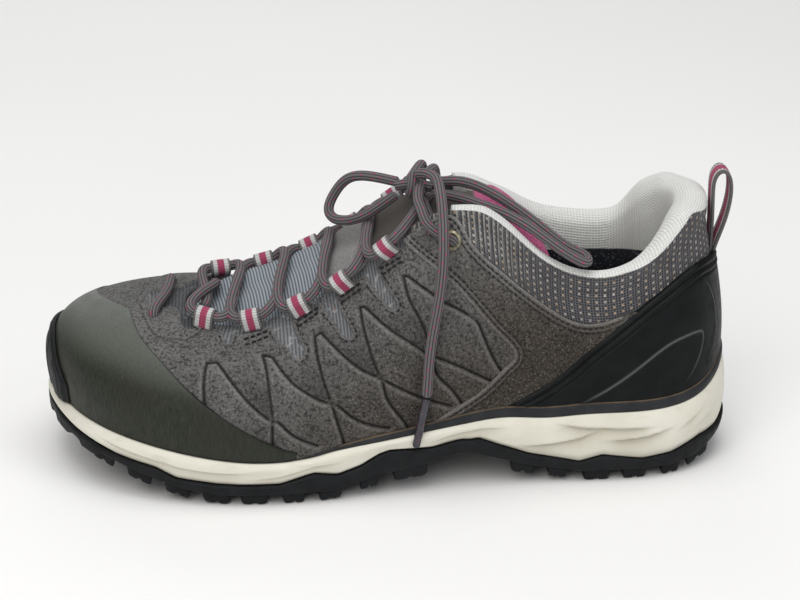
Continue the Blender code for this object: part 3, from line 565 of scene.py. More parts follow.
def lining_material():
    """The collar: pale mesh with staggered dimples, the cuff's weave outside and a dark lining low inside."""
    n = Nodes("lining_mesh_look", 0.9, sheen_weight=0.15, specular_ior_level=0.15)
    dots = n.times(n.wave(n.value("run"), 2.6), n.wave(n.value("ring"), 2.2))
    dimple = n.span(n.maths("ABSOLUTE", dots), 0.2, 0.75)
    tone = n.patches((0.72, 0.725, 0.70), (0.83, 0.835, 0.81), 0.6)
    tone = n.mix(n.times(dimple, 0.4), tone, (0.47, 0.47, 0.45))
    woven = n.span(n.value("woven"), -0.15, 0.15)
    weave, height = cuff_tones(n)
    tone = n.mix(woven, tone, weave)
    specks = n.span(n.noise(0.9), 0.58, 0.68)
    dark = n.mix(specks, (0.010, 0.012, 0.020), (0.17, 0.18, 0.20))
    n.colour(n.mix(n.span(n.value("deep"), -0.3, 0.3), tone, dark))
    relief = n.mix(woven, n.times(dimple, -0.8), height)
    n.bump(relief, 0.35)
    return n.done()


def dark_lining_material():
    """Dark brushed lining with pale specks, low inside the shoe."""
    n = Nodes("inner_lining", 0.95, sheen_weight=0.3)
    specks = n.span(n.noise(0.9), 0.62, 0.75)
    tone = n.patches((0.010, 0.012, 0.018), (0.035, 0.038, 0.048), 3.0)
    n.colour(n.mix(specks, tone, (0.16, 0.17, 0.19)))
    n.bump(n.noise(0.8, 3.0), 0.4)
    return n.done()


def toe_material():
    """Rubberised fabric: dark olive, fine upright threads, paler on top with dust and a painted highlight, a
    few pale scuffs.
    """
    n = Nodes("toe_rubber_look", 0.5, specular_ior_level=0.25)
    thread = n.noise(0.55, 2.0, (1.0, 0.6, 0.16))
    tone = n.mix(n.span(thread, 0.3, 0.7), (0.012, 0.014, 0.009), (0.028, 0.032, 0.022))
    tone = n.patches(tone, (0.022, 0.023, 0.015), 22.0, 0.35, 0.7, most=0.5)
    # Paler where it faces up: dust and a painted highlight
    dust = n.times(n.value("wear_and_highlight"), n.span(thread, 0.25, 0.75, 0.7, 1.0))
    tone = n.mix(dust, tone, (0.105, 0.115, 0.098))
    scuff = n.span(n.noise(1.8, 3.0), 0.74, 0.80)
    tone = n.mix(scuff, tone, (0.09, 0.09, 0.07))
    # Near black: edge paint along the top edge, painted shade along the foot by the sole
    n.colour(n.mix(n.value("dark"), tone, (0.005, 0.005, 0.005)))
    n.uneven(5.0, 0.42, 0.54)
    n.bump(thread, 0.14)
    return n.done()


def rubber_material(name, low, high, rough):
    """Moulded rubber with a fine grain and faint dust."""
    n = Nodes(name, rough, specular_ior_level=0.2)
    tone = n.patches(low, high, 7.0, detail=3.0)
    dust = n.span(n.noise(1.1, 3.0), 0.68, 0.8, 0.0, 0.5)
    n.colour(n.mix(dust, tone, tuple(x * 2.4 + 0.01 for x in high)))
    n.uneven(4.0, rough - 0.08, rough + 0.1)
    n.bump(n.noise(0.5), 0.06)
    return n.done()


def foam_material():
    """Off-white moulded foam: darker and warmer in its hollows and on the lip against the upper as painted
    shade, and darker towards the bottom.
    """
    n = Nodes("foam_look", 0.55, specular_ior_level=0.25, subsurface_weight=0.04)
    n.set("Subsurface Radius", (0.002, 0.0016, 0.001))
    tone = n.patches((0.68, 0.655, 0.56), (0.76, 0.74, 0.65), 16.0, detail=3.0)
    # Painted shade in the creases and on the lip, and darker towards the bottom
    tone = n.mix(n.value("dark"), tone, (0.36, 0.32, 0.235))
    streak = n.span(n.noise(5.0, 3.0, (0.3, 1.0, 1.6)), 0.58, 0.72, 0.0, 0.35)
    n.colour(n.mix(streak, tone, (0.56, 0.52, 0.43)))
    n.bump(n.noise(0.9), 0.04)
    return n.done()


def counter_material():
    """Smooth moulded plastic with paler lines along its arcs as painted highlights."""
    n = Nodes("counter_look", 0.45, specular_ior_level=0.12)
    tone = n.patches((0.004, 0.0046, 0.005), (0.0075, 0.0085, 0.009), 7.0, detail=3.0)
    tone = n.patches(tone, (0.025, 0.025, 0.025), 0.9, 0.70, 0.80, most=0.5)
    # Paler along the arcs: painted highlight
    n.colour(n.mix(n.value("line"), tone, (0.17, 0.175, 0.175)))
    n.uneven(4.0, 0.38, 0.54)
    n.bump(n.noise(0.7), 0.05)
    return n.done()


def knit_material():
    """Ribbed tongue knit, a smooth felt panel above it, brown fleece behind and a red textile end."""
    n = Nodes("tongue_look", 0.9, sheen_weight=0.1, specular_ior_level=0.15)
    rib = n.wave(n.value("run"), 1.25)
    stitch = n.wave(n.value("down"), 0.8)
    fine = n.maths("MULTIPLY_ADD", stitch, 0.35, rib)
    knit = n.mix(n.span(fine, -0.8, 0.9), (0.092, 0.106, 0.124), (0.345, 0.380, 0.420))
    felt = n.patches((0.17, 0.165, 0.16), (0.27, 0.265, 0.26), 0.7, detail=3.0)
    red = n.patches((0.36, 0.055, 0.155), (0.52, 0.13, 0.26), 0.9, 0.35, 0.65)
    tone = n.mix(n.value("felt"), knit, felt)
    tone = n.mix(n.value("red"), tone, red)
    n.colour(n.mix(n.value("dark"), tone, (0.040, 0.031, 0.023)))
    n.bump(n.maths("MULTIPLY_ADD", n.noise(0.7), 0.6, n.times(stitch, 0.3)), 0.2)
    return n.done()


def webbing_material(name, edge, pale, middle, widths):
    """Woven tape with stripes along it: widths are the half widths of the middle and of the pale stripes."""
    n = Nodes(name, 0.85, sheen_weight=0.1, specular_ior_level=0.15)
    across = n.maths("ABSOLUTE", n.value("across"))
    rib = n.value("rib")
    tone = n.mix(n.span(across, widths[1] - 0.1, widths[1] + 0.1), pale, edge)
    tone = n.mix(n.span(across, widths[0] - 0.1, widths[0] + 0.1), middle, tone)
    thread = n.wave(n.value("across"), 0.55)
    tone = n.mix(n.span(rib, -1.0, 0.1, 0.6, 0.0), tone, n.mix(0.7, tone, (0.02, 0.018, 0.018)))
    n.colour(n.mix(n.span(thread, -1.0, 0.0, 0.3, 0.0), tone, n.mix(0.6, tone, (0.03, 0.03, 0.03))))
    n.bump(n.maths("MULTIPLY_ADD", n.noise(0.4), 0.5, thread), 0.12)
    return n.done()


def lace_material():
    """Round braid: grey with dark lengthwise lines and small regular pink flecks."""
    n = Nodes("lace_look", 0.85, sheen_weight=0.1, specular_ior_level=0.15)
    run, around = n.value("run"), n.value("around")
    lines = n.maths("SINE", n.times(around, 2 * np.pi * 10))
    finer = n.maths("SINE", n.times(around, 2 * np.pi * 20))
    plait = n.times(n.wave(run, 0.95), finer)
    tone = n.mix(n.span(lines, -0.7, 0.1), (0.045, 0.042, 0.046), (0.185, 0.171, 0.175))
    tone = n.mix(n.span(plait, -0.6, 0.4, 0.4, 0.0), tone, (0.085, 0.08, 0.083))
    lane = n.times(around, 10.0)
    within = n.maths("ABSOLUTE", n.maths("SUBTRACT", n.maths("FRACT", lane), 0.25))
    shift = n.times(n.maths("FLOOR", lane), 0.381)
    beat = n.maths("FRACT", n.maths("ADD", n.maths("DIVIDE", run, 8.4), shift))
    spot = n.span(n.maths("ABSOLUTE", n.maths("SUBTRACT", beat, 0.5)), 0.06, 0.045)
    fleck = n.times(n.span(within, 0.26, 0.16), spot)
    n.colour(n.mix(fleck, tone, (0.46, 0.06, 0.16)))
    n.bump(n.maths("MULTIPLY_ADD", plait, 0.6, n.times(lines, 0.5)), 0.2)
    return n.done()


def aglet_material():
    """Smoky clear sleeve over the lace's end."""
    n = Nodes("aglet_look", 0.25, specular_ior_level=0.4, coat_weight=0.3, coat_roughness=0.12)
    flecks = n.span(n.noise(1.1, 1.0), 0.66, 0.72, 0.0, 0.8)
    tone = n.patches((0.018, 0.017, 0.024), (0.045, 0.042, 0.055), 3.0)
    n.colour(n.mix(flecks, tone, (0.16, 0.025, 0.06)))
    n.bump(n.noise(0.8), 0.06)
    return n.done()


def metal_material():
    """Painted brass, paler in patches."""
    n = Nodes("eyelet_look", 0.38, metallic=0.85)
    n.colour(n.patches((0.16, 0.145, 0.09), (0.34, 0.31, 0.22), 1.4, 0.4, 0.65, detail=3.0))
    n.uneven(0.9, 0.28, 0.5)
    return n.done()


def thread_material():
    n = Nodes("thread_look", 0.7, specular_ior_level=0.3)
    n.colour(n.patches((0.006, 0.006, 0.008), (0.022, 0.022, 0.026), 0.35, 0.35, 0.65))
    n.bump(n.noise(0.3), 0.05)
    return n.done()


def floor_material():
    n = Nodes("floor_look", 0.75, specular_ior_level=0.15)
    n.colour(n.patches((0.885, 0.88, 0.87), (0.91, 0.905, 0.895), 320.0))
    n.bump(n.noise(6.0), 0.02)
    return n.done()


# Suede and quarter tones: light, then a warmer and darker one low and towards the heel that is partly painted
# shade
SUEDE_LIGHT = (0.142, 0.140, 0.138)
SUEDE_WARM_SHADED = (0.066, 0.058, 0.050)
SUEDE_DARK = (0.012, 0.011, 0.010)
QUARTER_LIGHT = (0.148, 0.143, 0.138)
QUARTER_WARM_SHADED = (0.054, 0.045, 0.037)
GUSSET_LIGHT = (0.195, 0.20, 0.207)
GUSSET_DARK = (0.085, 0.088, 0.094)
PINK = (0.46, 0.07, 0.15)
UPPER_SUEDE = suede_material("upper_suede", SUEDE_LIGHT, SUEDE_WARM_SHADED, SUEDE_DARK)

LOOK = {
    "upper": add_gusset(UPPER_SUEDE, GUSSET_LIGHT, GUSSET_DARK).done(),
    "quarter": suede_material("quarter_suede", QUARTER_LIGHT, QUARTER_WARM_SHADED, SUEDE_DARK).done(),
    "cuff": cuff_material(),
    "lining": lining_material(),
    "dark_lining": dark_lining_material(),
    "toe": toe_material(),
    "counter": counter_material(),
    "rubber": rubber_material("outsole_look", (0.005, 0.0055, 0.0065), (0.010, 0.011, 0.0125), 0.6),
    "band": rubber_material("band_look", (0.017, 0.018, 0.020), (0.028, 0.029, 0.032), 0.5),
    "foam": foam_material(),
    "tongue": knit_material(),
    "loop": webbing_material("loop_webbing", (0.20, 0.195, 0.185), (0.72, 0.72, 0.72), PINK, (1.35, 3.0)),
    "pull": webbing_material("pull_webbing", (0.125, 0.12, 0.115), (0.66, 0.66, 0.66), PINK, (2.4, 3.8)),
    "lace": lace_material(),
    "aglet": aglet_material(),
    "metal": metal_material(),
    "thread": thread_material(),
    "bronze": rubber_material("piping_look", (0.06, 0.044, 0.030), (0.12, 0.088, 0.058), 0.55),
}

add_camera()
add_lights()


def add_floor():
    size, count = 6.0, 25
    line = np.linspace(-size / 2, size / 2, count)
    x, y = np.meshgrid(line, line, indexing="ij")
    mesh = bpy.data.meshes.new("floor")
    points = np.stack([x, y, 0 * x], -1).reshape(-1, 3)
    mesh.from_pydata(points.tolist(), [], sheet_faces(count, count)[:, ::-1].tolist())
    mesh.materials.append(floor_material())
    floor = bpy.data.objects.new("floor", mesh)
    bpy.context.scene.collection.objects.link(floor)


add_floor()

# Laces

# Along values of the loops' rows, and how far the outer loop of a row lies in front of the inner one
LACE_ROWS = (200.0, 182.5, 164.0, 147.5, 131.0)
ROW_SKEW = 5.5
TOP_ROW = 111.0
EYELET_T = 0.88
FRONT_HOLE = {-1: (0.78, 0.84), 1: (-0.95, 0.88)}
LOOP_LENGTH = 7.6
# How far a loop's centre lies down the wall from the throat's edge and off the wall
LOOP_REACH = 2.6
LOOP_RISE = 4.5
# How much higher the upper strand of a crossing is arched
OVER_LIFT = 1.2
FRONT_START = {-1: (205.0, -8.5, 64.8), 1: (201.0, 12.6, 66.6)}
TOP_END = {-1: (115.5, -16.5, 100.4), 1: (111.5, 16.0, 100.2)}
TONGUE = (
    # along, half width, height, droop of the outer side, of the inner side, thickness, turn towards the toe
    (216.0, 9.0, 57.0, 1.5, 1.5, 3.0, 2.0),
    (203.0, 14.0, 61.5, 5.6, 3.2, 3.6, 2.0),
    (186.0, 18.5, 67.5, 10.4, 5.8, 4.5, 2.5),
    (168.0, 21.0, 75.0, 11.6, 8.0, 5.0, 2.5),
    (150.0, 22.0, 84.0, 11.8, 9.2, 5.5, 2.0),
    (131.0, 22.5, 95.0, 11.0, 10.6, 6.0, 2.0),
    (112.0, 20.5, 103.0, 10.0, 10.0, 6.5, 3.0),
    (96.0, 19.0, 101.5, 9.0, 9.0, 6.5, 4.0),
    (84.0, 18.5, 96.5, 8.5, 8.5, 6.0, 5.0),
    (76.0, 17.5, 91.0, 7.0, 7.0, 4.0, 6.0),
)
KNOT = np.array((122.5, 0.0, 111.2))
KNOT_CORE = ((129.6, 1.0, 110.2), (122.5, 0.0, 111.2), (115.4, -1.0, 110.0))
KNOT_TURNS = np.radians(np.linspace(180, 720, 22))
KNOT_RADIUS = 3.5
KNOT_HALF = 2.2
# Along, side and height of the free stretches, as in the part
BOW_FRONT = (
    (128.2, 2.2, 111.2), (140.5, 9.0, 111.6), (148.0, 13.0, 108.8), (152.6, 14.5, 102.8),
    (155.0, 13.0, 97.2), (153.2, 9.0, 94.4), (148.0, 4.0, 95.2), (140.5, 1.0, 98.8), (129.4, -1.2, 107.4),
)
BOW_REAR = (
    (116.0, 1.5, 111.0), (105.0, -1.0, 112.2), (95.6, -5.0, 110.2), (86.0, -11.0, 106.0),
    (75.4, -18.0, 99.6), (65.6, -24.0, 93.4), (59.0, -27.6, 90.8), (59.6, -31.8, 89.8),
    (68.6, -30.0, 94.6), (78.4, -24.6, 100.6), (88.0, -18.2, 104.6), (97.6, -11.4, 106.4),
    (106.4, -6.0, 107.6), (115.8, -3.6, 108.4),
)
END_OUTER = (
    (121.8, -3.2, 116.0), (119.0, -5.6, 117.4), (115.6, -10.4, 117.8), (114.0, -18.0, 116.8),
    (113.6, -30.6, 112.8), (113.6, -39.8, 103.8), (114.2, -43.4, 91.0), (115.8, -43.8, 78.0),
    (117.8, -44.8, 66.8), (119.2, -45.6, 55.0), (120.0, -45.6, 41.6),
)
TAG_OUTER = ((120.1, -45.6, 41.0), (124.2, -45.8, 20.5))
END_INNER = (
    (124.0, 7.8, 109.4), (121.4, 13.0, 111.2), (118.8, 20.0, 111.8), (117.6, 27.6, 108.0),
    (117.6, 32.6, 100.4), (117.8, 34.6, 93.0),
)
TAG_INNER = ((117.8, 34.8, 92.4), (118.6, 36.8, 74.0))
TAIL = {
    -1: ((118.0, -31.4, 104.8), (120.6, -24.6, 108.4), (121.6, -14.0, 109.8)),
    1: ((111.6, 32.4, 100.6), (112.8, 27.0, 107.6), (116.6, 14.0, 110.8)),
}
TAG = 3.6
LACE_SIDES = 20
LACE_STEP = 0.9
# Share of the lace's radius at its cut ends, and the length over which it grows to the whole
LACE_TIP = 0.55
LACE_ROUND = 0.6
# Points of a crossing, and how far it keeps its direction at either end, as a share of its span
BRIDGE_POINTS = 40
BRIDGE_REACH = 0.24
# Where the braid's pattern starts: from row to row, and more on the upper strand
BRAID_ROW = 31.0
BRAID_OVER = 13.0
BAR_MIDDLE = (-0.1, 0.93)
TAG_SIDES = 24
TAG_STEP = 0.5


def frames(path):
    """Direction and two cross vectors at each point of a path, turned as little as possible."""
    run = unit(np.gradient(path, axis=0))
    across = np.empty_like(run)
    side = np.cross(run[0], UP if abs(run[0] @ UP) < 0.9 else np.array((0.0, 1.0, 0.0)))
    for k, direction in enumerate(run):
        side = side - (side @ direction) * direction
        side = side / np.linalg.norm(side)
        across[k] = side
    return run, across, np.cross(run, across)


def tube(path, radius, sides=LACE_SIDES, first=0.0):
    """Points, faces and corner values of a tube; radius is one number or one for each point of the path."""
    path = np.asarray(path, float)
    across, other = frames(path)[1:]
    turn = 2 * np.pi * np.arange(sides) / sides
    radius = np.broadcast_to(radius, len(path))[:, None, None]
    flat = np.cos(turn)[None, :, None] * across[:, None] + np.sin(turn)[None, :, None] * other[:, None]
    points = path[:, None] + radius * flat
    faces = sheet_faces(len(path), sides, False, True)
    caps = end_faces(len(path), sides)
    run = first + along_line(path)
    i, j = np.divmod(np.arange(len(faces)), sides)
    around = np.stack([j, j + 1, j + 1, j], -1) / sides
    length = np.stack([run[i], run[i], run[i + 1], run[i + 1]], -1)
    ends = np.zeros((len(caps), 4))
    corners = {"around": np.concatenate([around, ends]), "run": np.concatenate([length, ends + first])}
    return points.reshape(-1, 3), np.concatenate([faces, caps]), corners


def join_tubes(name, tubes, material, **more):
    points, faces = merge([(one[0], one[1]) for one in tubes])
    corners = {key: np.concatenate([one[2][key] for one in tubes]) for key in tubes[0][2]}
    return add_mesh(name, points, faces, material, corners=corners, **more)


def rounded(path, radius):
    """A radius for each point of a path, with its two ends drawn in."""
    length = along_line(path)
    short = np.minimum(length, length[-1] - length)
    return radius * (LACE_TIP + (1 - LACE_TIP) * np.sqrt(np.clip(short / LACE_ROUND, 0, 1)))


def edge_station(side, along):
    """The station where the throat's edge passes an along value, on one side."""
    us = np.linspace(1.0, 5.0, 200) if side < 0 else np.linspace(ROUND - 1.0, ROUND - 5.0, 200)
    found = edge_line(us)[:, 0]
    return np.interp(-along, -found, us)


def throat_frame(side, along):
    """Place on the throat's edge with its directions: towards the heel, down the wall and off the wall."""
    u = edge_station(side, along - side * ROW_SKEW / 2)
    heelward = unit(edge_line(u - side * 0.1) - edge_line(u + side * 0.1))
    down = unit(np.cross(heelward, wall_normal(u, 0.97)) * side)
    return edge_line(u), heelward, down, np.cross(down, heelward) * side


def loop_centre(side, along):
    place, _, down, lift = throat_frame(side, along)
    return place + LOOP_REACH * down + LOOP_RISE * lift


def bridge(start, leave, end, arrive, lift, count):
    """A lace from one place to another, leaving and arriving in given directions, arched by lift."""
    s = np.linspace(0, 1, count)[:, None]
    reach = BRIDGE_REACH * np.linalg.norm(end - start)
    first, second = start + reach * leave, end - reach * arrive
    line = (1 - s) ** 3 * start + 3 * (1 - s) ** 2 * s * first + 3 * (1 - s) * s**2 * second + s**3 * end
    return line + 4 * lift * s * (1 - s) * UP


def tongue_top(along):
    rows = smooth_line(TONGUE)
    return np.interp(-along, -rows[:, 0], rows[:, 2])


def lace_ends(row, side):
    """Where a crossing meets the throat's edge in a row, the lace's direction there and its straight run."""
    if row == 0:
        return np.array(FRONT_START[side]), np.array((-0.7, -0.7 * side, 0.14)), 0.0
    if row > len(LACE_ROWS):
        return np.array(TOP_END[side]), np.array((-0.6, 0.7 * side, -0.39)), 0.0
    along = LACE_ROWS[row - 1]
    return loop_centre(side, along), throat_frame(side, along)[1], LOOP_LENGTH / 2 + 2 * GAP


def add_crossings():
    for row in range(len(LACE_ROWS) + 1):
        strands = []
        for side in SIDES:
            start, leave, first_run = lace_ends(row, side)
            end, arrive, last_run = lace_ends(row + 1, -side)
            start, end = start + GAP * leave, end - GAP * arrive
            first, last = start + first_run * leave, end - last_run * arrive
            middle = bridge(first, leave, last, arrive, 0.0, 3)[1]
            clear = tongue_top(middle[0]) + LACE / 2 + 3 * GAP
            lift = max(clear - middle[2], 2 * GAP) + OVER_LIFT * (side > 0)
            path = list(bridge(first, leave, last, arrive, lift, BRIDGE_POINTS))
            path = resample([start] * (first_run > 0) + path + [end] * (last_run > 0), LACE_STEP)
            braid = BRAID_ROW * row + BRAID_OVER * (side > 0)
            strands.append(tube(path, rounded(path, LACE / 2), first=braid))
        add_lace(f"lace_cross_{row + 1}", strands)


def add_lace(name, strands, look="lace"):
    return join_tubes(f"look_{name}", strands, LOOK[look], replaces=[name], slot="lace_braid")


def add_front_bar():
    ends = {side: skin(*FRONT_HOLE[side], LACE / 2 + 1.2) for side in SIDES}
    feet = {side: skin(*FRONT_HOLE[side], -1.0) for side in SIDES}
    middle = skin(*BAR_MIDDLE, LACE / 2 + 1.0)
    bends = {side: ends[side] + 0.12 * (middle - ends[side]) for side in SIDES}
    path = resample(smooth_line([feet[-1], bends[-1], middle, bends[1], feet[1]]), LACE_STEP)
    add_lace("lace_bar_front", [tube(path, LACE / 2)])


def add_cord(name, route, first=0.0):
    """A free stretch of the lace."""
    path = resample(smooth_line(route, 24), LACE_STEP)
    piece = add_lace(name, [tube(path, rounded(path, LACE / 2), first=first)])


def add_tag(name, route):
    """The plastic sleeve at the end of a lace: a rolled mouth, a slim body and a pressed tip."""
    path = resample(np.array(route), TAG_STEP)
    length = along_line(path)
    share = length / length[-1]
    radius = TAG / 2 * (1 - 0.10 * smooth_step(share / 0.15) - 0.06 * share)
    tip = np.sqrt(np.clip((length[-1] - length) / 1.2, 0, 1))
    radius = radius * (0.35 + 0.65 * tip) * (0.8 + 0.2 * np.sqrt(np.clip(length / 0.5, 0, 1)))
    return add_lace(name, [tube(path, radius, TAG_SIDES)], "aglet")


def add_knot():
    """The lace from eyelet to eyelet, wound once and a half round the knot's core."""
    wound = np.stack([
        KNOT[0] + np.linspace(-KNOT_HALF, KNOT_HALF, len(KNOT_TURNS)),
        KNOT[1] + KNOT_RADIUS * np.cos(KNOT_TURNS),
        KNOT[2] + KNOT_RADIUS * np.sin(KNOT_TURNS),
    ], -1)
    tails = {}
    for side in SIDES:
        u = edge_station(side, TOP_ROW)
        hole = [skin(u, EYELET_T, offset) for offset in (-1.2, 2.6, 4.4)]
        tails[side] = [*hole, *np.array(TAIL[side])]
    path = resample(smooth_line(KNOT_CORE), LACE_STEP)
    strand = tube(path, LACE / 2, first=7.0)
    core = join_tubes("look_lace_knot_core", [strand], LOOK["lace"], slot="lace_braid")
    add_cord("lace_knot", [*tails[-1], *wound, *tails[1][::-1]], 5.0)


add_crossings()
add_front_bar()
add_knot()
add_cord("lace_bow_front", BOW_FRONT, first=2.0)
add_cord("lace_bow_rear", BOW_REAR, first=9.0)
tag_outer = add_tag("lace_tag_outer", TAG_OUTER)
tag_inner = add_tag("lace_tag_inner", TAG_INNER)
add_cord("lace_end_outer", END_OUTER, 4.0)
add_cord("lace_end_inner", END_INNER, 14.0)

# Stitches

STITCH_PITCH = 2.5
STITCH_LONG = 1.75
STITCH_THICK = 0.34
# Millimetres for one station and for the whole wall, nearly: they even out the steps of a line of places
PLACE_SCALE = np.array((20.0, 60.0))
PLACE_STEP = 0.25


def stitch_run(points, normals, pitch=STITCH_PITCH, long=STITCH_LONG, thick=STITCH_THICK):
    """Dashes of thread along a line on a surface, each a small bowed capsule with its ends sunk in."""
    length = along_line(points)
    made = []
    shares = np.array((-0.5, -0.42, -0.2, 0.0, 0.2, 0.42, 0.5))
    thin = np.array((0.25, 0.8, 1.0, 1.0, 1.0, 0.8, 0.25))
    sink = np.array((-0.5, -0.1, 0.35, 0.5, 0.35, -0.1, -0.5)) * thick
    for mark in np.arange(pitch / 2, length[-1], pitch):
        marks = np.clip(mark + shares * long, 0, length[-1])
        off = unit(at_marks(normals, length, marks))
        made.append(tube(at_marks(points, length, marks) + sink[:, None] * off, thin * thick, 6)[:2])
    return made


def on_wall(places, offset, shift=0.0):
    """A line on the upper through places, moved sideways along the surface, with the surface's directions."""
    u, t = (resample(np.asarray(places) * PLACE_SCALE, PLACE_STEP) / PLACE_SCALE).T
    points, normals = skin(u, t, offset), wall_normal(u, t)
    run = unit(np.gradient(points, axis=0))
    return points + shift * np.cross(run, normals), normals


THREADS = []

# Upper

# Each pressed line of the cage: station and t from its foot up, then over its cap and down the slanting line
STEEP = (
    ((2.54, 0.33), (2.53, 0.357), (2.47, 0.52), (2.44, 0.650)),
    ((3.21, 0.06), (3.20, 0.147), (3.20, 0.288), (3.18, 0.408), (3.15, 0.598), (3.11, 0.718)),
    ((3.88, 0.02), (3.85, 0.092), (3.80, 0.185), (3.75, 0.295), (3.69, 0.425), (3.64, 0.605), (3.63, 0.753)),
    ((4.52, 0.05), (4.46, 0.118), (4.29, 0.238), (4.23, 0.343), (4.16, 0.440), (4.08, 0.638), (4.06, 0.805)),
    ((5.10, 0.11), (5.02, 0.170), (4.90, 0.242), (4.75, 0.335), (4.65, 0.525), (4.52, 0.682), (4.47, 0.823)),
)
SLANT = (
    (
        (2.57, 0.667), (2.70, 0.590), (2.90, 0.440), (3.05, 0.330),
        (3.19, 0.255), (3.27, 0.233), (3.39, 0.152), (3.61, 0.08),
    ),
    (
        (3.21, 0.693), (3.36, 0.520), (3.50, 0.415), (3.67, 0.330),
        (3.80, 0.288), (3.94, 0.203), (4.14, 0.138), (4.3, 0.11),
    ),
    (
        (3.69, 0.770), (3.83, 0.613), (3.99, 0.478), (4.13, 0.405),
        (4.29, 0.333), (4.47, 0.263), (4.70, 0.198), (4.93, 0.15),
    ),
    ((4.10, 0.790), (4.28, 0.625), (4.47, 0.510), (4.63, 0.432), (4.75, 0.390), (5.08, 0.307), (5.40, 0.225)),
    (
        (4.51, 0.810), (4.63, 0.735), (4.76, 0.667), (4.87, 0.623),
        (5.15, 0.550), (5.25, 0.497), (5.36, 0.372), (5.48, 0.27),
    ),
)
# Where the lines of the cage cross
CAGE_NODES = ((3.21, 0.250), (3.745, 0.305), (4.21, 0.367), (4.71, 0.405), (5.16, 0.547))
# Open U-shaped notches between the lace loops, down from the throat
NOTCHES = (
    (
        (2.39, 1.06), (2.42, 0.965), (2.56, 0.875), (2.63, 0.815),
        (2.69, 0.830), (2.71, 0.912), (2.78, 0.985), (2.80, 1.06),
    ),
    (
        (3.19, 1.06), (3.22, 0.93), (3.28, 0.815), (3.37, 0.728), (3.45, 0.645),
        (3.52, 0.657), (3.52, 0.71), (3.48, 0.775), (3.45, 0.868), (3.44, 1.06),
    ),
    (
        (3.71, 1.06), (3.74, 0.965), (3.78, 0.865), (3.86, 0.738), (3.91, 0.672),
        (3.97, 0.660), (3.96, 0.713), (3.91, 0.81), (3.87, 0.932), (3.86, 1.06),
    ),
    (
        (4.12, 1.06), (4.16, 0.927), (4.21, 0.843), (4.28, 0.758), (4.345, 0.697),
        (4.39, 0.705), (4.36, 0.753), (4.30, 0.84), (4.25, 0.93), (4.22, 1.06),
    ),
)
# Lower edge of the front lace stay, and the seam from it down to the toe cap
STAY = (
    (0.0, 0.808), (0.50, 0.815), (1.16, 0.758), (1.50, 0.728), (1.79, 0.760),
    (1.93, 0.780), (2.02, 0.85), (2.05, 0.93), (2.06, 1.0),
)
VAMP_SEAM = ((1.49, 0.590), (1.43, 0.703), (1.57, 0.715))
VAMP_STITCH = ((1.57, 0.70), (1.75, 0.59), (1.90, 0.50))
# Two rows of box stitching on the tab of each loop, from its front to its back
BOX_STITCH = (
    ((2.88, 0.843), (3.18, 0.883)),
    ((2.90, 0.795), (3.19, 0.843)),
    ((3.49, 0.893), (3.72, 0.925)),
    ((3.49, 0.850), (3.71, 0.895)),
    ((3.91, 0.912), (4.11, 0.922)),
    ((3.91, 0.880), (4.12, 0.890)),
    ((4.28, 0.917), (4.50, 0.902)),
    ((4.29, 0.883), (4.51, 0.885)),
)
# Lower limit of the gusset that shows above the suede: round the front of the throat and over the tabs
GUSSET = (
    (-1.02, 1.06), (-0.98, 0.965), (-0.62, 0.90), (-0.31, 0.835), (0.0, 0.845), (0.21, 0.862),
    (0.42, 0.905), (0.50, 0.945), (0.62, 0.966), (0.87, 0.968), (1.20, 0.95), (1.52, 0.893),
    (1.76, 0.858), (1.89, 0.880), (1.97, 0.93), (2.20, 0.945), (2.45, 0.925), (2.80, 0.885),
    (2.95, 0.895), (3.20, 0.92), (3.45, 0.93), (3.72, 0.95), (4.10, 0.952), (4.30, 0.948), (4.52, 0.945),
    (4.60, 0.98), (4.62, 1.06),
)
# Pressed lines: half width of the floor, width of the slope and depth
GROOVE_HALF = 0.26
GROOVE_SLOPE = 0.5
GROOVE_DEPTH = 0.8
# Height of the leaves between the lines, the distance over which they swell, and the step down beside them
PILLOW = 1.3
PILLOW_REACH = 3.8
RECESS = 0.9
# Where lines cross: radius of the flat and of the pit in it, each with the width of its slope
HUB, HUB_SLOPE = 1.5, 0.8
PIT, PIT_SLOPE = 0.4, 0.5
NOTCH_DEPTH = 0.9
STAY_RISE = 0.55
# Height above t = 1 at which open loops of places are closed
ABOVE = 1.2
FAR_AWAY = 99.0

QUARTER = (
    # front edge station and t, rear edge station and t, from the throat round to the sole
    (4.52, 0.965, 4.68, 0.97),
    (4.65, 0.86, 5.02, 0.975),
    (4.89, 0.73, 5.18, 0.89),
    (5.14, 0.615, 5.40, 0.83),
    (5.35, 0.52, 5.76, 0.80),
    (5.52, 0.453, 6.16, 0.76),
    (5.60, 0.40, 6.56, 0.725),
    (5.58, 0.355, 7.00, 0.775),
    (5.49, 0.31, 6.58, 0.60),
    (5.33, 0.235, 6.00, 0.31),
    (5.11, 0.168, 5.42, 0.125),
    (4.76, 0.103, 4.82, 0.06),
)


def turned(places, side):
    """Places of the outer side, on either side of the foot."""
    return np.asarray(places, float) * (-side, 1)


def cage_lines(side):
    """All pressed lines of one side as points in space."""
    lines = []
    for steep, slant in zip(STEEP, SLANT):
        cap = np.array([steep[-1], slant[0]])
        for rows in (smooth_line(steep), np.linspace(cap[0], cap[1], 4), smooth_line(slant)):
            lines.append(wall_line(turned(rows, side)))
    return lines


def gusset_loop(side):
    """The gusset's limit on one side, closed above the throat."""
    rows = np.array(GUSSET)
    if side > 0:
        rows = rows[rows[:, 0] > 1.9]
        rows = np.concatenate([((0.9, 1.06), (0.95, 0.95), (1.7, 0.95)), rows])
    loop = np.concatenate([rows, ((rows[-1, 0], ABOVE), (rows[0, 0], ABOVE))])
    return turned(loop, side)


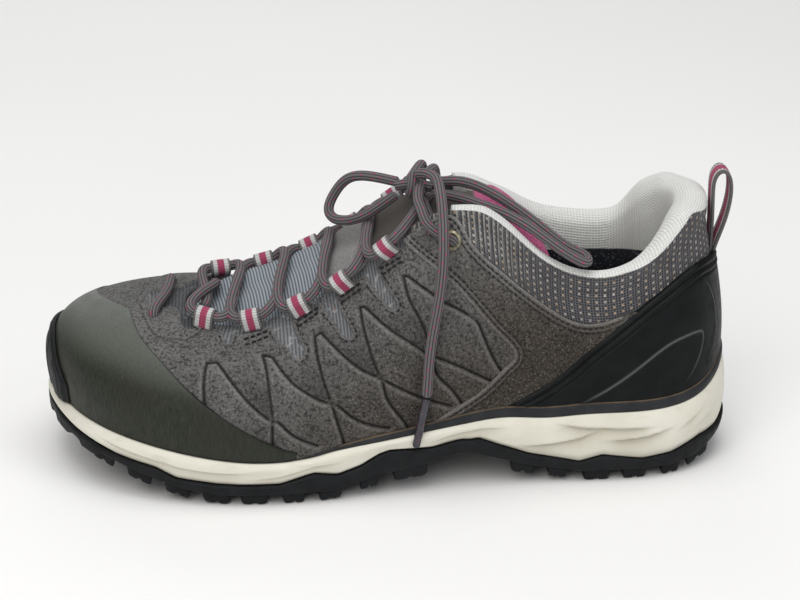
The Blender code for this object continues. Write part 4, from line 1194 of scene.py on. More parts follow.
def cage_recess(u, t):
    """Share of the step down between each slanting line and the next steep one, deepest where they cross."""
    found = np.zeros(u.shape)
    u = np.abs(u)
    for slant, steep, (node_u, node_t) in zip(SLANT, STEEP[1:], CAGE_NODES):
        down, up = smooth_line(slant), smooth_line(steep)
        down, up = down[down[:, 1] > node_t], up[up[:, 1] > node_t]
        loop = np.concatenate([down, [(node_u, node_t)], up])
        top = np.interp(u, (down[0, 0], up[-1, 0]), (down[0, 1], up[-1, 1]))
        share = smooth_step((top - t) / (top - node_t) / 0.8)
        found = np.maximum(found, np.where(inside(u, t, loop), share, 0))
    return found


RIM_RISE = (
    # along, how far the foam's rim stands above the upper's foot line
    (60.0, 0.0), (74.0, 0.8), (88.0, 4.5), (100.0, 6.4), (112.0, 7.0), (124.0, 6.8), (139.0, 5.8),
    (155.0, 4.0), (164.0, 2.0), (178.0, 0.5), (192.0, 0.0),
)


def rim_rise(along):
    return np.maximum(read(smooth_line(RIM_RISE), along), 0)


def depth_inside(points, u, t, edge, loop):
    """Distance from an edge, positive inside the loop that it belongs to and negative outside."""
    away = distance(points, wall_point(edge[:, 0], np.minimum(edge[:, 1], 1)))
    return np.where(inside(u, t, loop), away, -away)


def upper_detail(u, t, sides):
    """Offset from the wall and the named values at each place of a piece of the upper."""
    points = wall_point(u, t)
    groove, seam, node = np.full((3, *u.shape), FAR_AWAY)
    notch, stay = np.full((2, *u.shape), -FAR_AWAY)
    for side in sides:
        for line in cage_lines(side):
            groove = np.minimum(groove, distance(points, line))
        for place in CAGE_NODES:
            centre = wall_point(*turned(place, side))
            node = np.minimum(node, np.linalg.norm(points - centre, axis=-1))
        loops = [turned(smooth_line(rows, 6), side) for rows in NOTCHES]
        for loop in [*loops, gusset_loop(side)]:
            notch = np.maximum(notch, depth_inside(points, u, t, loop[loop[:, 1] < 1.05], loop))
        edge = turned(smooth_line(STAY), side)
        loop = np.concatenate([edge, turned(((STAY[-1][0], ABOVE), (STAY[0][0], ABOVE)), side)])
        stay = np.maximum(stay, depth_inside(points, u, t, edge, loop))
        seam = np.minimum(seam, distance(points, wall_line(turned(VAMP_SEAM, side))))
    climb = np.linalg.norm(np.gradient(points, axis=1), axis=-1)
    under = smooth_step(0.5 - np.gradient(groove, axis=1) / climb)
    recess = cage_recess(u, t)
    pressed = 1 - smooth_step((groove - GROOVE_HALF) / GROOVE_SLOPE)
    hub = 1 - smooth_step((node - HUB) / HUB_SLOPE)
    pit = 1 - smooth_step((node - PIT) / PIT_SLOPE)
    swell = 1 - np.exp(-np.maximum(groove - GROOVE_HALF, 0) / PILLOW_REACH)
    pillow = PILLOW * swell * smooth_step((0.97 - t) / 0.25)
    high = pillow - GROOVE_DEPTH * pressed - RECESS * recess * smooth_step(groove / 1.5)
    high = high * (1 - hub) - hub * (0.25 + 0.5 * pit)
    open_notch = smooth_step((notch + 0.2) / 0.4)
    raised = smooth_step((stay + 0.2) / 0.5)
    high = high + STAY_RISE * raised - 0.35 * (1 - smooth_step(seam / 0.7))
    rim = np.exp(-np.abs(notch + 0.9) / 0.8) * 0.2
    high = (high + rim) * (1 - open_notch) - NOTCH_DEPTH * open_notch
    foot = foot_line(u)
    along, height = points[..., 0], points[..., 2]
    # Darker: painted shade in the pressed lines, the pits where they cross, the recesses, under the stay's
    # edge, just inside the notches and where the upper meets the foam's rim, and the vamp seam's own dark
    # line
    dark = np.maximum.reduce([
        0.8 * pressed * (1 - 0.5 * hub),
        0.7 * pit,
        0.26 * recess,
        0.6 * (1 - smooth_step(seam / 0.5)),
        0.6 * bell(stay, -0.3, 0.3),
        0.7 * bell(notch, 0.25, 0.3),
        0.8 * bell(height - foot[..., 2] - rim_rise(foot[..., 0]), 0.0, 0.8),
    ])
    # Paler: painted highlight on the leaves just below the pressed lines, and the raw edges of the notches
    # and the stay
    wear_and_highlight = np.maximum.reduce([
        0.55 * bell(groove, 1.3, 0.7) * (1 - open_notch) * (1 - recess) * under,
        0.5 * bell(notch, -0.35, 0.3),
        0.4 * bell(stay, 0.35, 0.3),
    ])
    # Warmer and darker low down and towards the heel, except high up: partly warm colour, partly painted
    # shade
    shade = smooth_step((185 - along) / 70) * smooth_step((92 - height) / 40) * 0.65
    shade = np.clip(shade + smooth_step((66 - height) / 40) * 0.45, 0, 1)
    # Painted shade on the gusset deep in the front of the throat
    deep = open_notch * smooth_step((2.3 - np.abs(u)) / 0.4) * smooth_step((t - 0.84) / 0.08)
    return high, {"dark": dark, "mesh": open_notch, "shade": shade, "wear_and_highlight": wear_and_highlight, "deep": deep}


# Stations along the throat and collar, and the length of the edge up to each
EDGE_MARKS = np.linspace(-6.0, 13.0, 1500)
EDGE_RUN = along_line(edge_line(EDGE_MARKS))


def weave_values(us, ts):
    """Lengths along the collar and down from it, for woven patterns."""
    run = np.interp(us, EDGE_MARKS, EDGE_RUN)
    down = np.linalg.norm(np.diff(wall_point(us[:, None], ts[None]), axis=1), axis=-1)
    down = np.concatenate([np.zeros((len(us), 1)), np.cumsum(down, axis=1)], axis=1)
    return np.broadcast_to(run[:, None], down.shape), down[:, -1:] - down


# Rows of points behind the outer face of the upper and under the other layers
INNER_ROWS = 7
HIDDEN_ROWS = 9
UPPER_PIECES = (
    # name, first and last station, columns, rows, sides whose lines cross it
    ("look_upper_toe", -1.9, 1.9, 220, 104, (-1, 1)),
    ("look_upper_outer", 1.9, 5.75, 410, 176, (-1,)),
    ("look_upper_inner", -5.75, -1.9, 300, 130, (1,)),
    ("look_upper_heel", 5.75, 12.25, 260, 64, ()),
)


def quarter_middle(side):
    """A line under the quarter panel that parts the suede in front of it from the cuff above it."""
    rows = np.array(QUARTER)
    front = rows[:7, 0:2] * 0.4 + rows[:7, 2:4] * 0.6
    loop = np.concatenate([front, ((6.6, 0.3), (9.0, 0.3), (9.0, ABOVE), (4.75, ABOVE))])
    return turned(loop, side)


def add_upper():
    """The hollow wall in four pieces: a dense outer face with pressed lines, and a plain lining behind it."""
    look = [LOOK["upper"], LOOK["cuff"], LOOK["dark_lining"]]
    suede, cuff, lining = range(3)
    for name, first, last, columns, rows, sides in UPPER_PIECES:
        us = np.linspace(first, last, columns)
        ts = np.linspace(0, 1, rows)
        u, t = np.meshgrid(us, ts, indexing="ij")
        high, values = upper_detail(u, t, sides) if sides else (np.zeros(u.shape), {})
        values["run"], values["down"] = weave_values(us, ts)
        values["streak"] = streak_share(u, values["down"])
        if name == "look_upper_toe":
            places = wall_point(u, t)
            values["run"], values["down"] = places[..., 0], places[..., 1]
        high = high * smooth_step(t / 0.02) - 0.25 * (1 - smooth_step((1 - t) / 0.012))
        outer = skin(u, t, high)
        outer[:, 0, 2] = np.maximum(outer[:, 0, 2], foot_line(us)[:, 2] + GAP)
        behind = skin(us[:, None], np.linspace(1, 0, INNER_ROWS), -WALL)
        behind[:, -1, 2] = foot_line(us)[:, 2] + GAP
        loops = np.concatenate([outer, behind], axis=1)
        size = rows + INNER_ROWS
        filler = np.zeros((columns, INNER_ROWS))
        values = {key: np.concatenate([value, filler], 1) for key, value in values.items()}
        faces = sheet_faces(columns, size, False, True)
        at, place = np.divmod(np.arange(len(faces)), size)
        shown = place < rows
        pick = np.where(shown, suede if sides else cuff, lining)
        for side in sides:
            woven = inside(us[at], ts[np.minimum(place, rows - 1)], quarter_middle(side))
            pick = np.where(woven & shown, cuff, pick)
        stands_for = ["upper"] if name == "look_upper_outer" else []
        add_mesh(name, loops, faces, look, values, pick=pick, replaces=stands_for, slot="suede")


def streak_share(u, down):
    """How far the cuff's pale streaks show: at its throat end and high up."""
    from_throat = np.minimum(np.abs(u), ROUND - np.abs(u))
    return smooth_step((6.15 - from_throat) / 0.8) * smooth_step((16 - down) / 10)


def add_upper_threads():
    for side in SIDES:
        for rows in NOTCHES:
            places = turned(smooth_line(rows, 6), side)
            places = places[places[:, 1] < 0.90]
            THREADS.extend(stitch_run(*on_wall(places, 0.55, 1.5 * side)))
        THREADS.extend(stitch_run(*on_wall(turned(smooth_line(STAY)[:-8], side), 0.75, -1.1 * side)))
        THREADS.extend(stitch_run(*on_wall(turned(VAMP_STITCH, side), 0.75), pitch=2.2, long=1.3, thick=0.25))
        for row in BOX_STITCH:
            THREADS.extend(stitch_run(*on_wall(turned(row, side), 0.95), thick=0.42))


add_upper()
add_upper_threads()

# Overlays: toe cap, bumper, heel counter and quarter panels

# Thickness of the layers, and how far they lie off the upper
OVERLAY = 1.2
BUMPER_THICK = 1.8
COUNTER_THICK = 1.6
QUARTER_THICK = 1.0
SEAT = 2 * GAP
# Thickness of a layer at its edge, and the width over which it is rolled up to the whole
LAYER_EDGE = 0.25
LAYER_ROLL = 1.3
# Stations from one upright bar of the bumper to the next
BUMPER_PITCH = 0.42
# Upper edges of the layers: station and t
TOE_CAP = (
    (-3.1, 0.06), (-2.6, 0.20), (-2.1, 0.38), (-1.5, 0.56), (-0.8, 0.69), (-0.2, 0.745), (0.5, 0.76),
    (1.35, 0.66), (2.0, 0.53), (2.5, 0.36), (2.8, 0.25), (3.2, 0.11), (3.45, 0.06),
)
BUMPER = ((-2.0, 0.10), (-1.4, 0.22), (-0.7, 0.28), (0.0, 0.29), (0.4, 0.22), (0.8, 0.10))
COUNTER_HALF = (
    (5.5, 0.12), (5.85, 0.20), (6.2, 0.36), (6.5, 0.53), (6.9, 0.71), (7.3, 0.81), (7.8, 0.83),
    (8.3, 0.78),
)
COUNTER = (*COUNTER_HALF, (9.0, 0.71), *((ROUND - u, t) for u, t in COUNTER_HALF[::-1]))
# Raised arcs on each side of the counter: how much painted highlight each of them shows, and its places
COUNTER_ARCS = (
    (0.9, ((8.06, 0.713), (8.22, 0.64), (8.34, 0.50), (8.37, 0.36), (8.30, 0.24), (8.10, 0.13))),
    (0.6, (
        (6.23, 0.06), (6.61, 0.182), (7.25, 0.408), (7.70, 0.440),
        (7.96, 0.403), (8.02, 0.340), (7.90, 0.222), (7.66, 0.11),
    )),
)


def above_sole(us, clear):
    """The t value on the upper at a height over the foam's rim."""
    t = np.linspace(0, 0.5, 120)
    rise = wall_point(us[:, None], t[None])[..., 2] - foot_line(us)[:, 2:3]
    wanted = clear + rim_rise(foot_line(us)[:, 0])
    return np.array([np.interp(one, row, t) for one, row in zip(wanted, rise)])


def hidden_rows(count):
    """The few rows, from last to first, that close a layer on its hidden side."""
    return np.linspace(count - 1, 0, HIDDEN_ROWS).round().astype(int)


def add_overlay(name, rows, clear, inner, thick, look, columns, steps, slot, relief=None, trim=None):
    """A layer on the upper from a height over the sole to its own edge, with rounded rims and own relief."""
    us = np.linspace(rows[0][0], rows[-1][0], columns)
    low, top = above_sole(us, clear), read(smooth_line(rows, 12), us)
    if trim is not None:
        top = top - trim(us)
    top = np.maximum(top, low + 0.006)
    share = np.linspace(0, 1, steps)
    u = np.broadcast_to(us[:, None], (columns, steps))
    t = low[:, None] + share * (top - low)[:, None]
    base = wall_point(u, t)
    edge = distance(base, wall_point(us, top))
    ends = np.minimum(u - us[0], us[-1] - u)
    high = inner + LAYER_EDGE + (thick - LAYER_EDGE) * rolled(edge, LAYER_ROLL) * smooth_step(ends / 0.12)
    values = {
        # Near black along the layer's top edge as edge paint, and along its foot by the sole as painted shade
        "dark": np.maximum(bell(edge, 0, 0.55), bell(distance(base, base[:, 0]), 0, 0.55)),
        "line": np.zeros(u.shape),
        # Paler where the layer faces up, read by the toe cap: painted highlight with some dust
        "wear_and_highlight": smooth_step((wall_normal(u, t)[..., 2] - 0.30) / 0.65),
    }
    if relief is not None:
        rise, values["line"] = relief(base, u, t, edge)
        high = high + rise * smooth_step(edge / 0.6 + 0.15) * smooth_step(ends / 0.1)
    back = hidden_rows(steps)
    loops = np.concatenate([skin(u, t, high), skin(u, t, inner)[:, back]], axis=1)
    values = {key: np.concatenate([one, one[:, back]], axis=1) for key, one in values.items()}
    loft(f"look_{name}", loops, LOOK[look], values=values, replaces=[name], slot=slot)


def counter_relief(base, u, t, edge):
    """Ridges along the counter's edge and two raised arcs on each side, with painted highlights along them.
    """
    ridge = 0.35 * bell(edge, 1.4, 0.6) - 0.75 * bell(edge, 3.0, 0.5)
    ridge += 0.30 * bell(edge, 4.3, 0.5) - 0.55 * bell(edge, 5.7, 0.45)
    step, line = np.zeros((2, *u.shape))
    for strength, rows in COUNTER_ARCS:
        outer = smooth_line(rows)
        for places in (outer, np.stack([ROUND - outer[:, 0], outer[:, 1]], -1)):
            arc = wall_line(places)
            away = distance(base, arc)
            within = inside(u, t, np.concatenate([places, places[:1]]))
            step += np.where(within, 0.30 * np.exp(-away / 2.0), -0.30 * np.exp(-away / 0.5))
            tips = np.min([np.linalg.norm(base - tip, axis=-1) for tip in (arc[0], arc[-1])], axis=0)
            # Painted highlight along each arc, fading towards its ends
            line = np.maximum(line, strength * bell(away, 0, 0.38) * smooth_step(tips / 14))
    clear = smooth_step((edge - 6.2) / 1.5)
    return ridge + (step + 0.25 * line) * clear, line * clear


def bumper_relief(base, u, t, edge):
    """Shallow upright steps on the toe bumper."""
    bars = np.sin(2 * np.pi * u / BUMPER_PITCH)
    return 0.35 * smooth_step((bars + 0.2) / 0.5) * smooth_step((edge - 1.5) / 1.5) - 0.15, np.zeros(u.shape)


def cap_trim(us):
    """How much lower the toe cap's edge lies on the inner side than in its table."""
    return 0.17 * smooth_step((0.45 - us) / 1.1) * smooth_step((us + 2.9) / 1.0)


def add_overlays():
    over = SEAT + OVERLAY + GAP
    add_overlay("toe_cap", TOE_CAP, 2 * GAP, SEAT, OVERLAY, "toe", 280, 90, "toe_rubber", trim=cap_trim)
    add_overlay(
        "toe_bumper", BUMPER, 1.2, over, BUMPER_THICK, "rubber", 150, 44, "black_rubber",
        relief=bumper_relief,
    )
    add_overlay(
        "heel_counter", COUNTER, 4.6, SEAT, COUNTER_THICK, "counter", 380, 100, "counter_plastic",
        relief=counter_relief,
    )


QUARTER_LONG = 260
QUARTER_WIDE = 80
# How far down the panel its rear edge is sewn, and how far in from the edge the two rows of stitches lie
QUARTER_SEWN = 6.7
QUARTER_ROWS = (1.7, 3.4)
# Pitch, length and radius of their stitches
QUARTER_STITCH = (2.3, 1.6, 0.26)


def add_quarters():
    """The raised rear panels, with rolled raw edges and two rows of stitches along them."""
    part = np.linspace(0, len(QUARTER) - 1, QUARTER_LONG)
    sewn = part < QUARTER_SEWN
    rows = Curve(QUARTER)(part)
    rows[:, 2] += 0.14 * smooth_step((part - 6.6) / 0.6)
    share = eased(QUARTER_WIDE, 0.5)
    back = hidden_rows(QUARTER_WIDE)
    for side, word in SIDES.items():
        u = rows[:, 0:1] + share * (rows[:, 2:3] - rows[:, 0:1])
        t = rows[:, 1:2] + share * (rows[:, 3:4] - rows[:, 1:2])
        if side > 0:
            u = ROUND - u
        base = wall_point(u, t)
        edge = np.minimum(distance(base, base[:, 0]), distance(base, base[sewn, -1]))
        seat = -0.25 * sum(bell(edge, inset, 0.35) for inset in QUARTER_ROWS)
        high = SEAT + 0.2 + (QUARTER_THICK - 0.2) * rolled(edge, 0.8) + seat
        high = high + 0.25 * smooth_step((edge - 2) / 6)
        values = {
            # Warmer and darker low down: partly warm colour, partly painted shade
            "shade": smooth_step((104 - base[..., 2]) / 48),
            "wear_and_highlight": bell(edge, 0, 1.0) + 0.35 * bell(edge, 2.5, 0.5),
            "dark": np.zeros(u.shape),
        }
        values = {key: np.concatenate([one, one[:, back]], 1) for key, one in values.items()}
        loops = np.concatenate([skin(u, t, high), skin(u, t, SEAT - 0.3)[:, back]], axis=1)
        name = f"quarter_{word}"
        loft(f"look_{name}", loops, LOOK["quarter"], values=values, replaces=[name], slot="suede")
        for line, sign, last in ((0, -side, -6), (-1, side, int(sewn.sum()) - 10)):
            kept = slice(6, last)
            run = unit(np.gradient(base[:, line], axis=0))
            normals = wall_normal(u[:, line], t[:, line])
            path = base[:, line] + (SEAT + QUARTER_THICK - 0.1) * normals
            for inset in QUARTER_ROWS:
                row = path + inset * sign * np.cross(run, normals)
                THREADS.extend(stitch_run(row[kept], normals[kept], *QUARTER_STITCH))


add_overlays()
add_quarters()
points, faces = merge(THREADS)
add_mesh("look_stitches", points, faces, LOOK["thread"], slot="suede")

# Sole

RING = 480
RING_U = (np.arange(RING) + 0.5) * ROUND / RING
SEAM = (
    # along, height of the line between midsole and outsole
    (-4.0, 20.0), (3.0, 14.0), (11.0, 13.5), (23.0, 9.5), (35.0, 8.5), (51.0, 11.0), (60.0, 8.5),
    (78.0, 12.5), (99.0, 18.0), (118.0, 15.5), (134.0, 15.0), (145.0, 11.0), (154.0, 9.5), (163.0, 11.0),
    (176.0, 8.0), (200.0, 9.0), (216.0, 10.5), (224.0, 14.0), (246.0, 17.5), (257.0, 22.0), (268.0, 27.0),
)
LUG_HEIGHT = 4.5
PLATE = 2.4
# Where the plate rises at the arch, over what length to each side and by how much
ARCH_ALONG = 105.0
ARCH_HALF = 24.0
ARCH_RISE = 4.0
TREAD = (
    # along, height of the underside of the lugs
    (-4.0, 11.0), (5.0, 5.5), (13.0, 1.8), (22.0, 0.0), (58.0, 0.0), (72.0, 2.4), (88.0, 5.5),
    (106.0, 7.0), (126.0, 6.5), (142.0, 4.0), (156.0, 0.0), (198.0, 0.0), (211.0, 1.6), (226.0, 5.4),
    (241.0, 10.0), (256.0, 14.5), (268.0, 18.0),
)
# Sculpted creases of the midsole's side: along and share of its height, three points each, and depth
CREASES = (
    ((27.6, 0.68), (51.6, 0.66), (72.0, 0.90), 2.0),
    ((49.0, 0.63), (66.0, 0.42), (86.0, 0.12), 1.8),
    ((19.7, 0.60), (37.3, 0.43), (53.0, 0.33), 2.0),
    ((8.0, 0.72), (14.0, 0.58), (24.0, 0.42), 1.6),
    ((3.0, 0.62), (8.0, 0.42), (16.0, 0.30), 1.4),
    ((86.0, 0.70), (104.0, 0.55), (122.0, 0.30), 1.1),
    ((150.0, 0.55), (172.0, 0.40), (190.0, 0.22), 0.9),
    ((185.0, 0.62), (207.0, 0.48), (226.0, 0.55), 1.1),
    ((214.0, 0.40), (232.0, 0.44), (248.0, 0.60), 1.1),
)
SEAM_RISE = (
    # along, how far the line between midsole and outsole lies above that of the part
    (80.0, 0.0), (92.0, 1.5), (100.0, 3.0), (115.0, 3.0), (128.0, 3.8), (138.0, 4.6), (146.0, 2.8),
    (154.0, 1.6), (166.0, 1.4), (176.0, 0.7), (190.0, 0.0),
)


def tread_height(along):
    return read(TREAD, along)


def plate_height(along):
    arch = ARCH_RISE * (1 - smooth_step(abs(np.asarray(along, float) - ARCH_ALONG) / ARCH_HALF))
    return tread_height(along) + LUG_HEIGHT + arch


def seam_height(along):
    return np.maximum(read(SEAM, along), plate_height(along) + PLATE)


def seam_line(along):
    return seam_height(along) + read(SEAM_RISE, along)


def sole_ring(offset, height):
    ring = foot_line(RING_U) + np.broadcast_to(offset, RING)[:, None] * outward(foot_line, RING_U)
    ring[:, 2] = height
    return ring


MIDSOLE_ROWS = 30
# Shares of the midsole's height at which its side has the offsets of its profile
MIDSOLE_MARKS = (0.0, 0.12, 0.40, 0.78, 1.0)


def add_midsole():
    """The foam rim with its flared side, the waves pressed into it and a lip on the upper at the arch."""
    rim, flare = column(RING_U, "rim"), column(RING_U, "flare")
    along = sole_ring(flare, 0.0)[:, 0]
    top = foot_line(RING_U)[:, 2] + rim_rise(foot_line(RING_U)[:, 0])
    base = seam_line(along) + GAP
    tall = top - base
    shape = np.stack([flare - 1.2, flare, flare + 0.6, rim + 0.7, rim - 0.4], 0)
    share = eased(MIDSOLE_ROWS, 0.35)
    rows = Curve(shape)(np.interp(share, MIDSOLE_MARKS, np.arange(len(MIDSOLE_MARKS))))
    waves = np.zeros(rows.shape)
    for one, two, three, depth in CREASES:
        line = smooth_line((one, two, three), 8)
        height = read(line, along)
        ends = smooth_step((along - line[0, 0]) / 12) * smooth_step((line[-1, 0] - along) / 12)
        below = (height - share[:, None]) * tall
        waves -= depth * ends * np.exp(-np.maximum(below, 0) / 3.6) * smooth_step((below + 0.35) / 0.7)
    fade = smooth_step(share / 0.1) * smooth_step((1 - share) / 0.08)
    rows = rows + waves * fade[:, None]
    loops = [sole_ring(offset, base + part * tall) for offset, part in zip(rows, share)]
    lip = above_sole(RING_U, 0.0)
    loops += [skin(RING_U, lip, 0.4), skin(RING_U, 0.5 * lip, 0.1), skin(RING_U, 0.0, -0.4)]
    # Painted shade in the pressed creases and on the lip against the upper, and darker towards the bottom
    dark = np.clip(-waves * 0.35, 0, 0.6) + 0.2 * (1 - smooth_step(share / 0.2))[:, None]
    dark = np.concatenate([dark, np.full((3, RING), 0.6)])
    loft("look_midsole", loops, LOOK["foam"], values={"dark": dark}, replaces=["midsole"], slot="white_foam")


# Station at which the band starts on either side, and radius and beat of its piping
BAND_START = 3.45
BAND_COLUMNS = 320
PIPING = 0.4
PIPING_PITCH = 1.8


def add_band():
    """The dark rim on top of the midsole, with a fine line of piping above it."""
    start, end = BAND_START, ROUND - BAND_START
    us = np.linspace(start, end, BAND_COLUMNS)
    run = np.minimum(us - start, end - us)
    tall = 0.7 + 1.7 * smooth_step(run / 0.9) + 1.5 * smooth_step((run - 0.8) / 1.2)
    wide = 0.7 + 1.3 * smooth_step(run / 0.9) + 1.0 * smooth_step((run - 1.9) / 0.8)
    seat = above_sole(us, 0.0)
    foot = skin(us, seat, GAP) + GAP * UP
    out = outward(foot_line, us)
    lean = skin(us, seat + 0.08, GAP) - skin(us, seat, GAP)
    top = foot + lean * (tall / lean[:, 2])[:, None]
    loops = [foot]
    for a in np.linspace(0, np.pi / 2, 9):
        bulge = wide * (0.55 + 0.45 * np.cos(a)) + 0.15 * np.sin(2 * a)
        loops.append(foot + bulge[:, None] * out + np.sin(a) * (top - foot))
    loops.append(top + 0.12 * wide[:, None] * out)
    loops.append((foot + top) / 2)
    loops = np.stack(loops, 1)
    loft("look_midsole_band", loops, LOOK["band"], replaces=["midsole_band"], slot="grey_rubber")
    inner = slice(10, -10)
    path = resample(top[inner] + (0.55 * wide[inner] + 0.2)[:, None] * out[inner], 0.9)
    wobble = 1 + 0.18 * np.sin(2 * np.pi * along_line(path) / PIPING_PITCH)
    join_tubes("look_band_piping", [tube(path, PIPING * wobble, 8)], LOOK["bronze"], slot="grey_rubber")


# Offset from inside the wall and rise over the bed, from the insole's underside up its side to its top
INSOLE_PROFILE = ((-1.0, 0.0), (0.0, 1.0), (0.0, 3.5), (-1.5, 3.6), (-4.0, 2.9))


def add_insole():
    inside_wall = -(WALL + 1.2)
    bed = foot_line(RING_U)[:, 2] + 2 * GAP
    rings = [sole_ring(inside_wall + offset, bed + rise) for offset, rise in INSOLE_PROFILE]
    loft("look_insole", rings, LOOK["dark_lining"], replaces=["insole"], slot="insole_felt")


LUG_ROWS = (
    # along, length, outer lug depth, inner lug depth, middle lug half width
    (12.0, 9.0, 13.0, 13.0, 0.0),
    (23.5, 7.0, 16.0, 16.0, 0.0),
    (38.0, 9.0, 19.0, 19.0, 7.0),
    (53.0, 10.0, 20.0, 20.0, 8.0),
    (68.5, 7.0, 20.0, 20.0, 8.0),
    (82.0, 9.0, 18.0, 18.0, 0.0),
    (126.0, 13.0, 18.0, 16.0, 0.0),
    (142.0, 7.0, 20.0, 18.0, 7.0),
    (157.0, 8.5, 22.0, 20.0, 9.0),
    (171.0, 8.0, 22.0, 22.0, 10.0),
    (186.0, 10.0, 22.0, 22.0, 11.0),
    (200.5, 10.0, 22.0, 22.0, 10.0),
    (215.5, 9.0, 21.0, 21.0, 9.0),
    (230.0, 9.0, 19.0, 20.0, 8.0),
    (244.0, 8.0, 15.0, 16.0, 0.0),
)
# How deep the lugs are set in the plate, how much their roots are longer, points along an edge and roundness
LUG_ROOT = 1.2
LUG_TAPER = 1.0
LUG_EDGE = 12
LUG_ROUND = 9
LUG_SHARP = np.radians(50)
TOE_BLOCK = 3.2
TOE_BLOCK_PITCH = 0.55
TOE_BLOCK_FROM = 238
OUTSOLE_ROWS = 14
PLATE_PROFILE = (
    # offset from the flare, share of the height from plate to seam
    (-1.5, 0.0), (0.0, 0.06), (0.45, 0.22), (0.6, 0.60), (0.6, 0.86), (0.2, 0.97), (-0.6, 1.0),
)


def rounded_block():
    """Points and faces of a cube with softened edges, welded at its seams."""
    line = np.linspace(-1, 1, LUG_EDGE)
    a, b = (grid.ravel() for grid in np.meshgrid(line, line, indexing="ij"))
    points, faces, first = [], [], 0
    quads = sheet_faces(LUG_EDGE, LUG_EDGE)
    for axis in range(3):
        for end in (-1, 1):
            face = np.empty((len(a), 3))
            face[:, axis] = end
            face[:, (axis + 1) % 3] = a
            face[:, (axis + 2) % 3] = b
            points.append(face)
            faces.append((quads if end > 0 else quads[:, ::-1]) + first)
            first += len(a)
    points, where = np.unique(np.round(np.concatenate(points), 6), axis=0, return_inverse=True)
    points = points / (np.abs(points) ** LUG_ROUND).sum(1, keepdims=True) ** (1 / LUG_ROUND)
    return points, where.ravel()[np.concatenate(faces)]


def lug_block(shape, along, length, near, far, tall_side):
    """One lug: near and far give its sides at an along value, and tall_side how far its near face climbs."""
    corners = np.empty((2, 2, 2, 3))
    for k, high in enumerate((0, 1)):
        for i, end in enumerate((-1, 1)):
            a = along + end * (length / 2 + high * LUG_TAPER)
            for j, line in enumerate((near, far)):
                climb = plate_height(a) + LUG_ROOT + (tall_side(a) if j == 0 else 0)
                corners[k, i, j] = (a, line(a), climb if high else tread_height(a))
    w = (shape + 1) / 2
    mixed = 0
    for k in (0, 1):
        for i in (0, 1):
            for j in (0, 1):
                share = np.abs(1 - k - w[:, 2]) * np.abs(1 - i - w[:, 0]) * np.abs(1 - j - w[:, 1])
                mixed = mixed + share[:, None] * corners[k, i, j]
    return mixed


def toe_blocks(along):
    """How far the plate's rim reaches down under the toe, cut into blocks."""
    blocks = smooth_step((np.sin(2 * np.pi * RING_U / TOE_BLOCK_PITCH) + 0.45) / 0.4)
    return TOE_BLOCK * smooth_step((along - TOE_BLOCK_FROM) / 12) * (0.35 + 0.65 * blocks)


def beside(line, inset):
    """A line beside another one, as a function of along."""
    return lambda along: line(along) - inset


def lug_climb(along):
    """How far a lug's face climbs the plate's side."""
    return 0.55 * max(seam_height(along) - plate_height(along) - LUG_ROOT, 0)


def add_outsole():
    """The rubber plate with lugs whose outer faces climb its side, and cuts across the lugs' treads."""
    flare = column(RING_U, "flare")
    rim = sole_ring(flare, 0.0)
    seam = seam_line(rim[:, 0])
    table = Curve(PLATE_PROFILE)(np.linspace(0, len(PLATE_PROFILE) - 1, OUTSOLE_ROWS))
    loops = []
    for offset, part in table:
        ring = sole_ring(flare + offset, 0.0)
        low = plate_height(ring[:, 0]) - toe_blocks(ring[:, 0])
        ring[:, 2] = low + np.clip(part, 0, 1) * (seam - low)
        loops.append(ring)
    loops = np.array(loops)
    plate = np.concatenate([sheet_faces(OUTSOLE_ROWS, RING, False, True), end_faces(OUTSOLE_ROWS, RING)])
    if volume(to_frame(loops).reshape(-1, 3), plate) < 0:
        plate = plate[:, ::-1]
    parts = [(loops, plate)]
    shape, quads = rounded_block()
    rims = {}
    for side in SIDES:
        half = rim[rim[:, 1] < MIDDLE_SIDE] if side < 0 else rim[rim[:, 1] >= MIDDLE_SIDE]
        half = half[np.argsort(half[:, 0])]
        rims[side] = lambda along, half=half: read(half, along)
    for along, length, outer, inner, middle in LUG_ROWS:
        blocks = []
        for side, depth in ((-1, outer), (1, inner)):
            near, far = beside(rims[side], 1.2 * side), beside(rims[side], side * depth)
            blocks.append((along, length, near, far, lug_climb))
        if middle:
            centre = (rims[-1](along) + rims[1](along)) / 2
            near, far = (lambda _: centre - middle), (lambda _: centre + middle)
            blocks.append((along + 0.75 * length, 0.8 * length, near, far, lambda _: 0.0))
        for block in blocks:
            points = lug_block(shape, *block)
            under = points[:, 2] < tread_height(points[:, 0]) + 0.4 * LUG_HEIGHT
            points[:, 2] += np.where(under, 1.3 * bell(points[:, 0], block[0], 0.55), 0)
            turned_in = volume(to_frame(points), quads) < 0
            parts.append((points, quads[:, ::-1] if turned_in else quads))
    points, faces = merge(parts)
    piece = add_mesh("look_outsole", points, faces, LOOK["rubber"], replaces=["outsole"], slot="black_rubber")
    piece.data.set_sharp_from_angle(angle=LUG_SHARP)


add_midsole()
add_band()
add_insole()
add_outsole()

# Collar, tongue, pull loop, lace loops and eyelets

COLLAR_FIRST, COLLAR_LAST = 5.0, 13.0
COLLAR_COLUMNS = 200
COLLAR_AROUND = 100
COLLAR_LINING_FOOT = 75.0
# t values of the lining's points, from its foot up
COLLAR_DEEP = np.array((0.625, 0.75, 0.875, 1.0))
# Height and thickness of the roll: at its ends, more along the sides and more at the heel
COLLAR_LIP = (2.5, 2.5, 6.0)
COLLAR_PAD = (4.0, 2.5, 3.5)
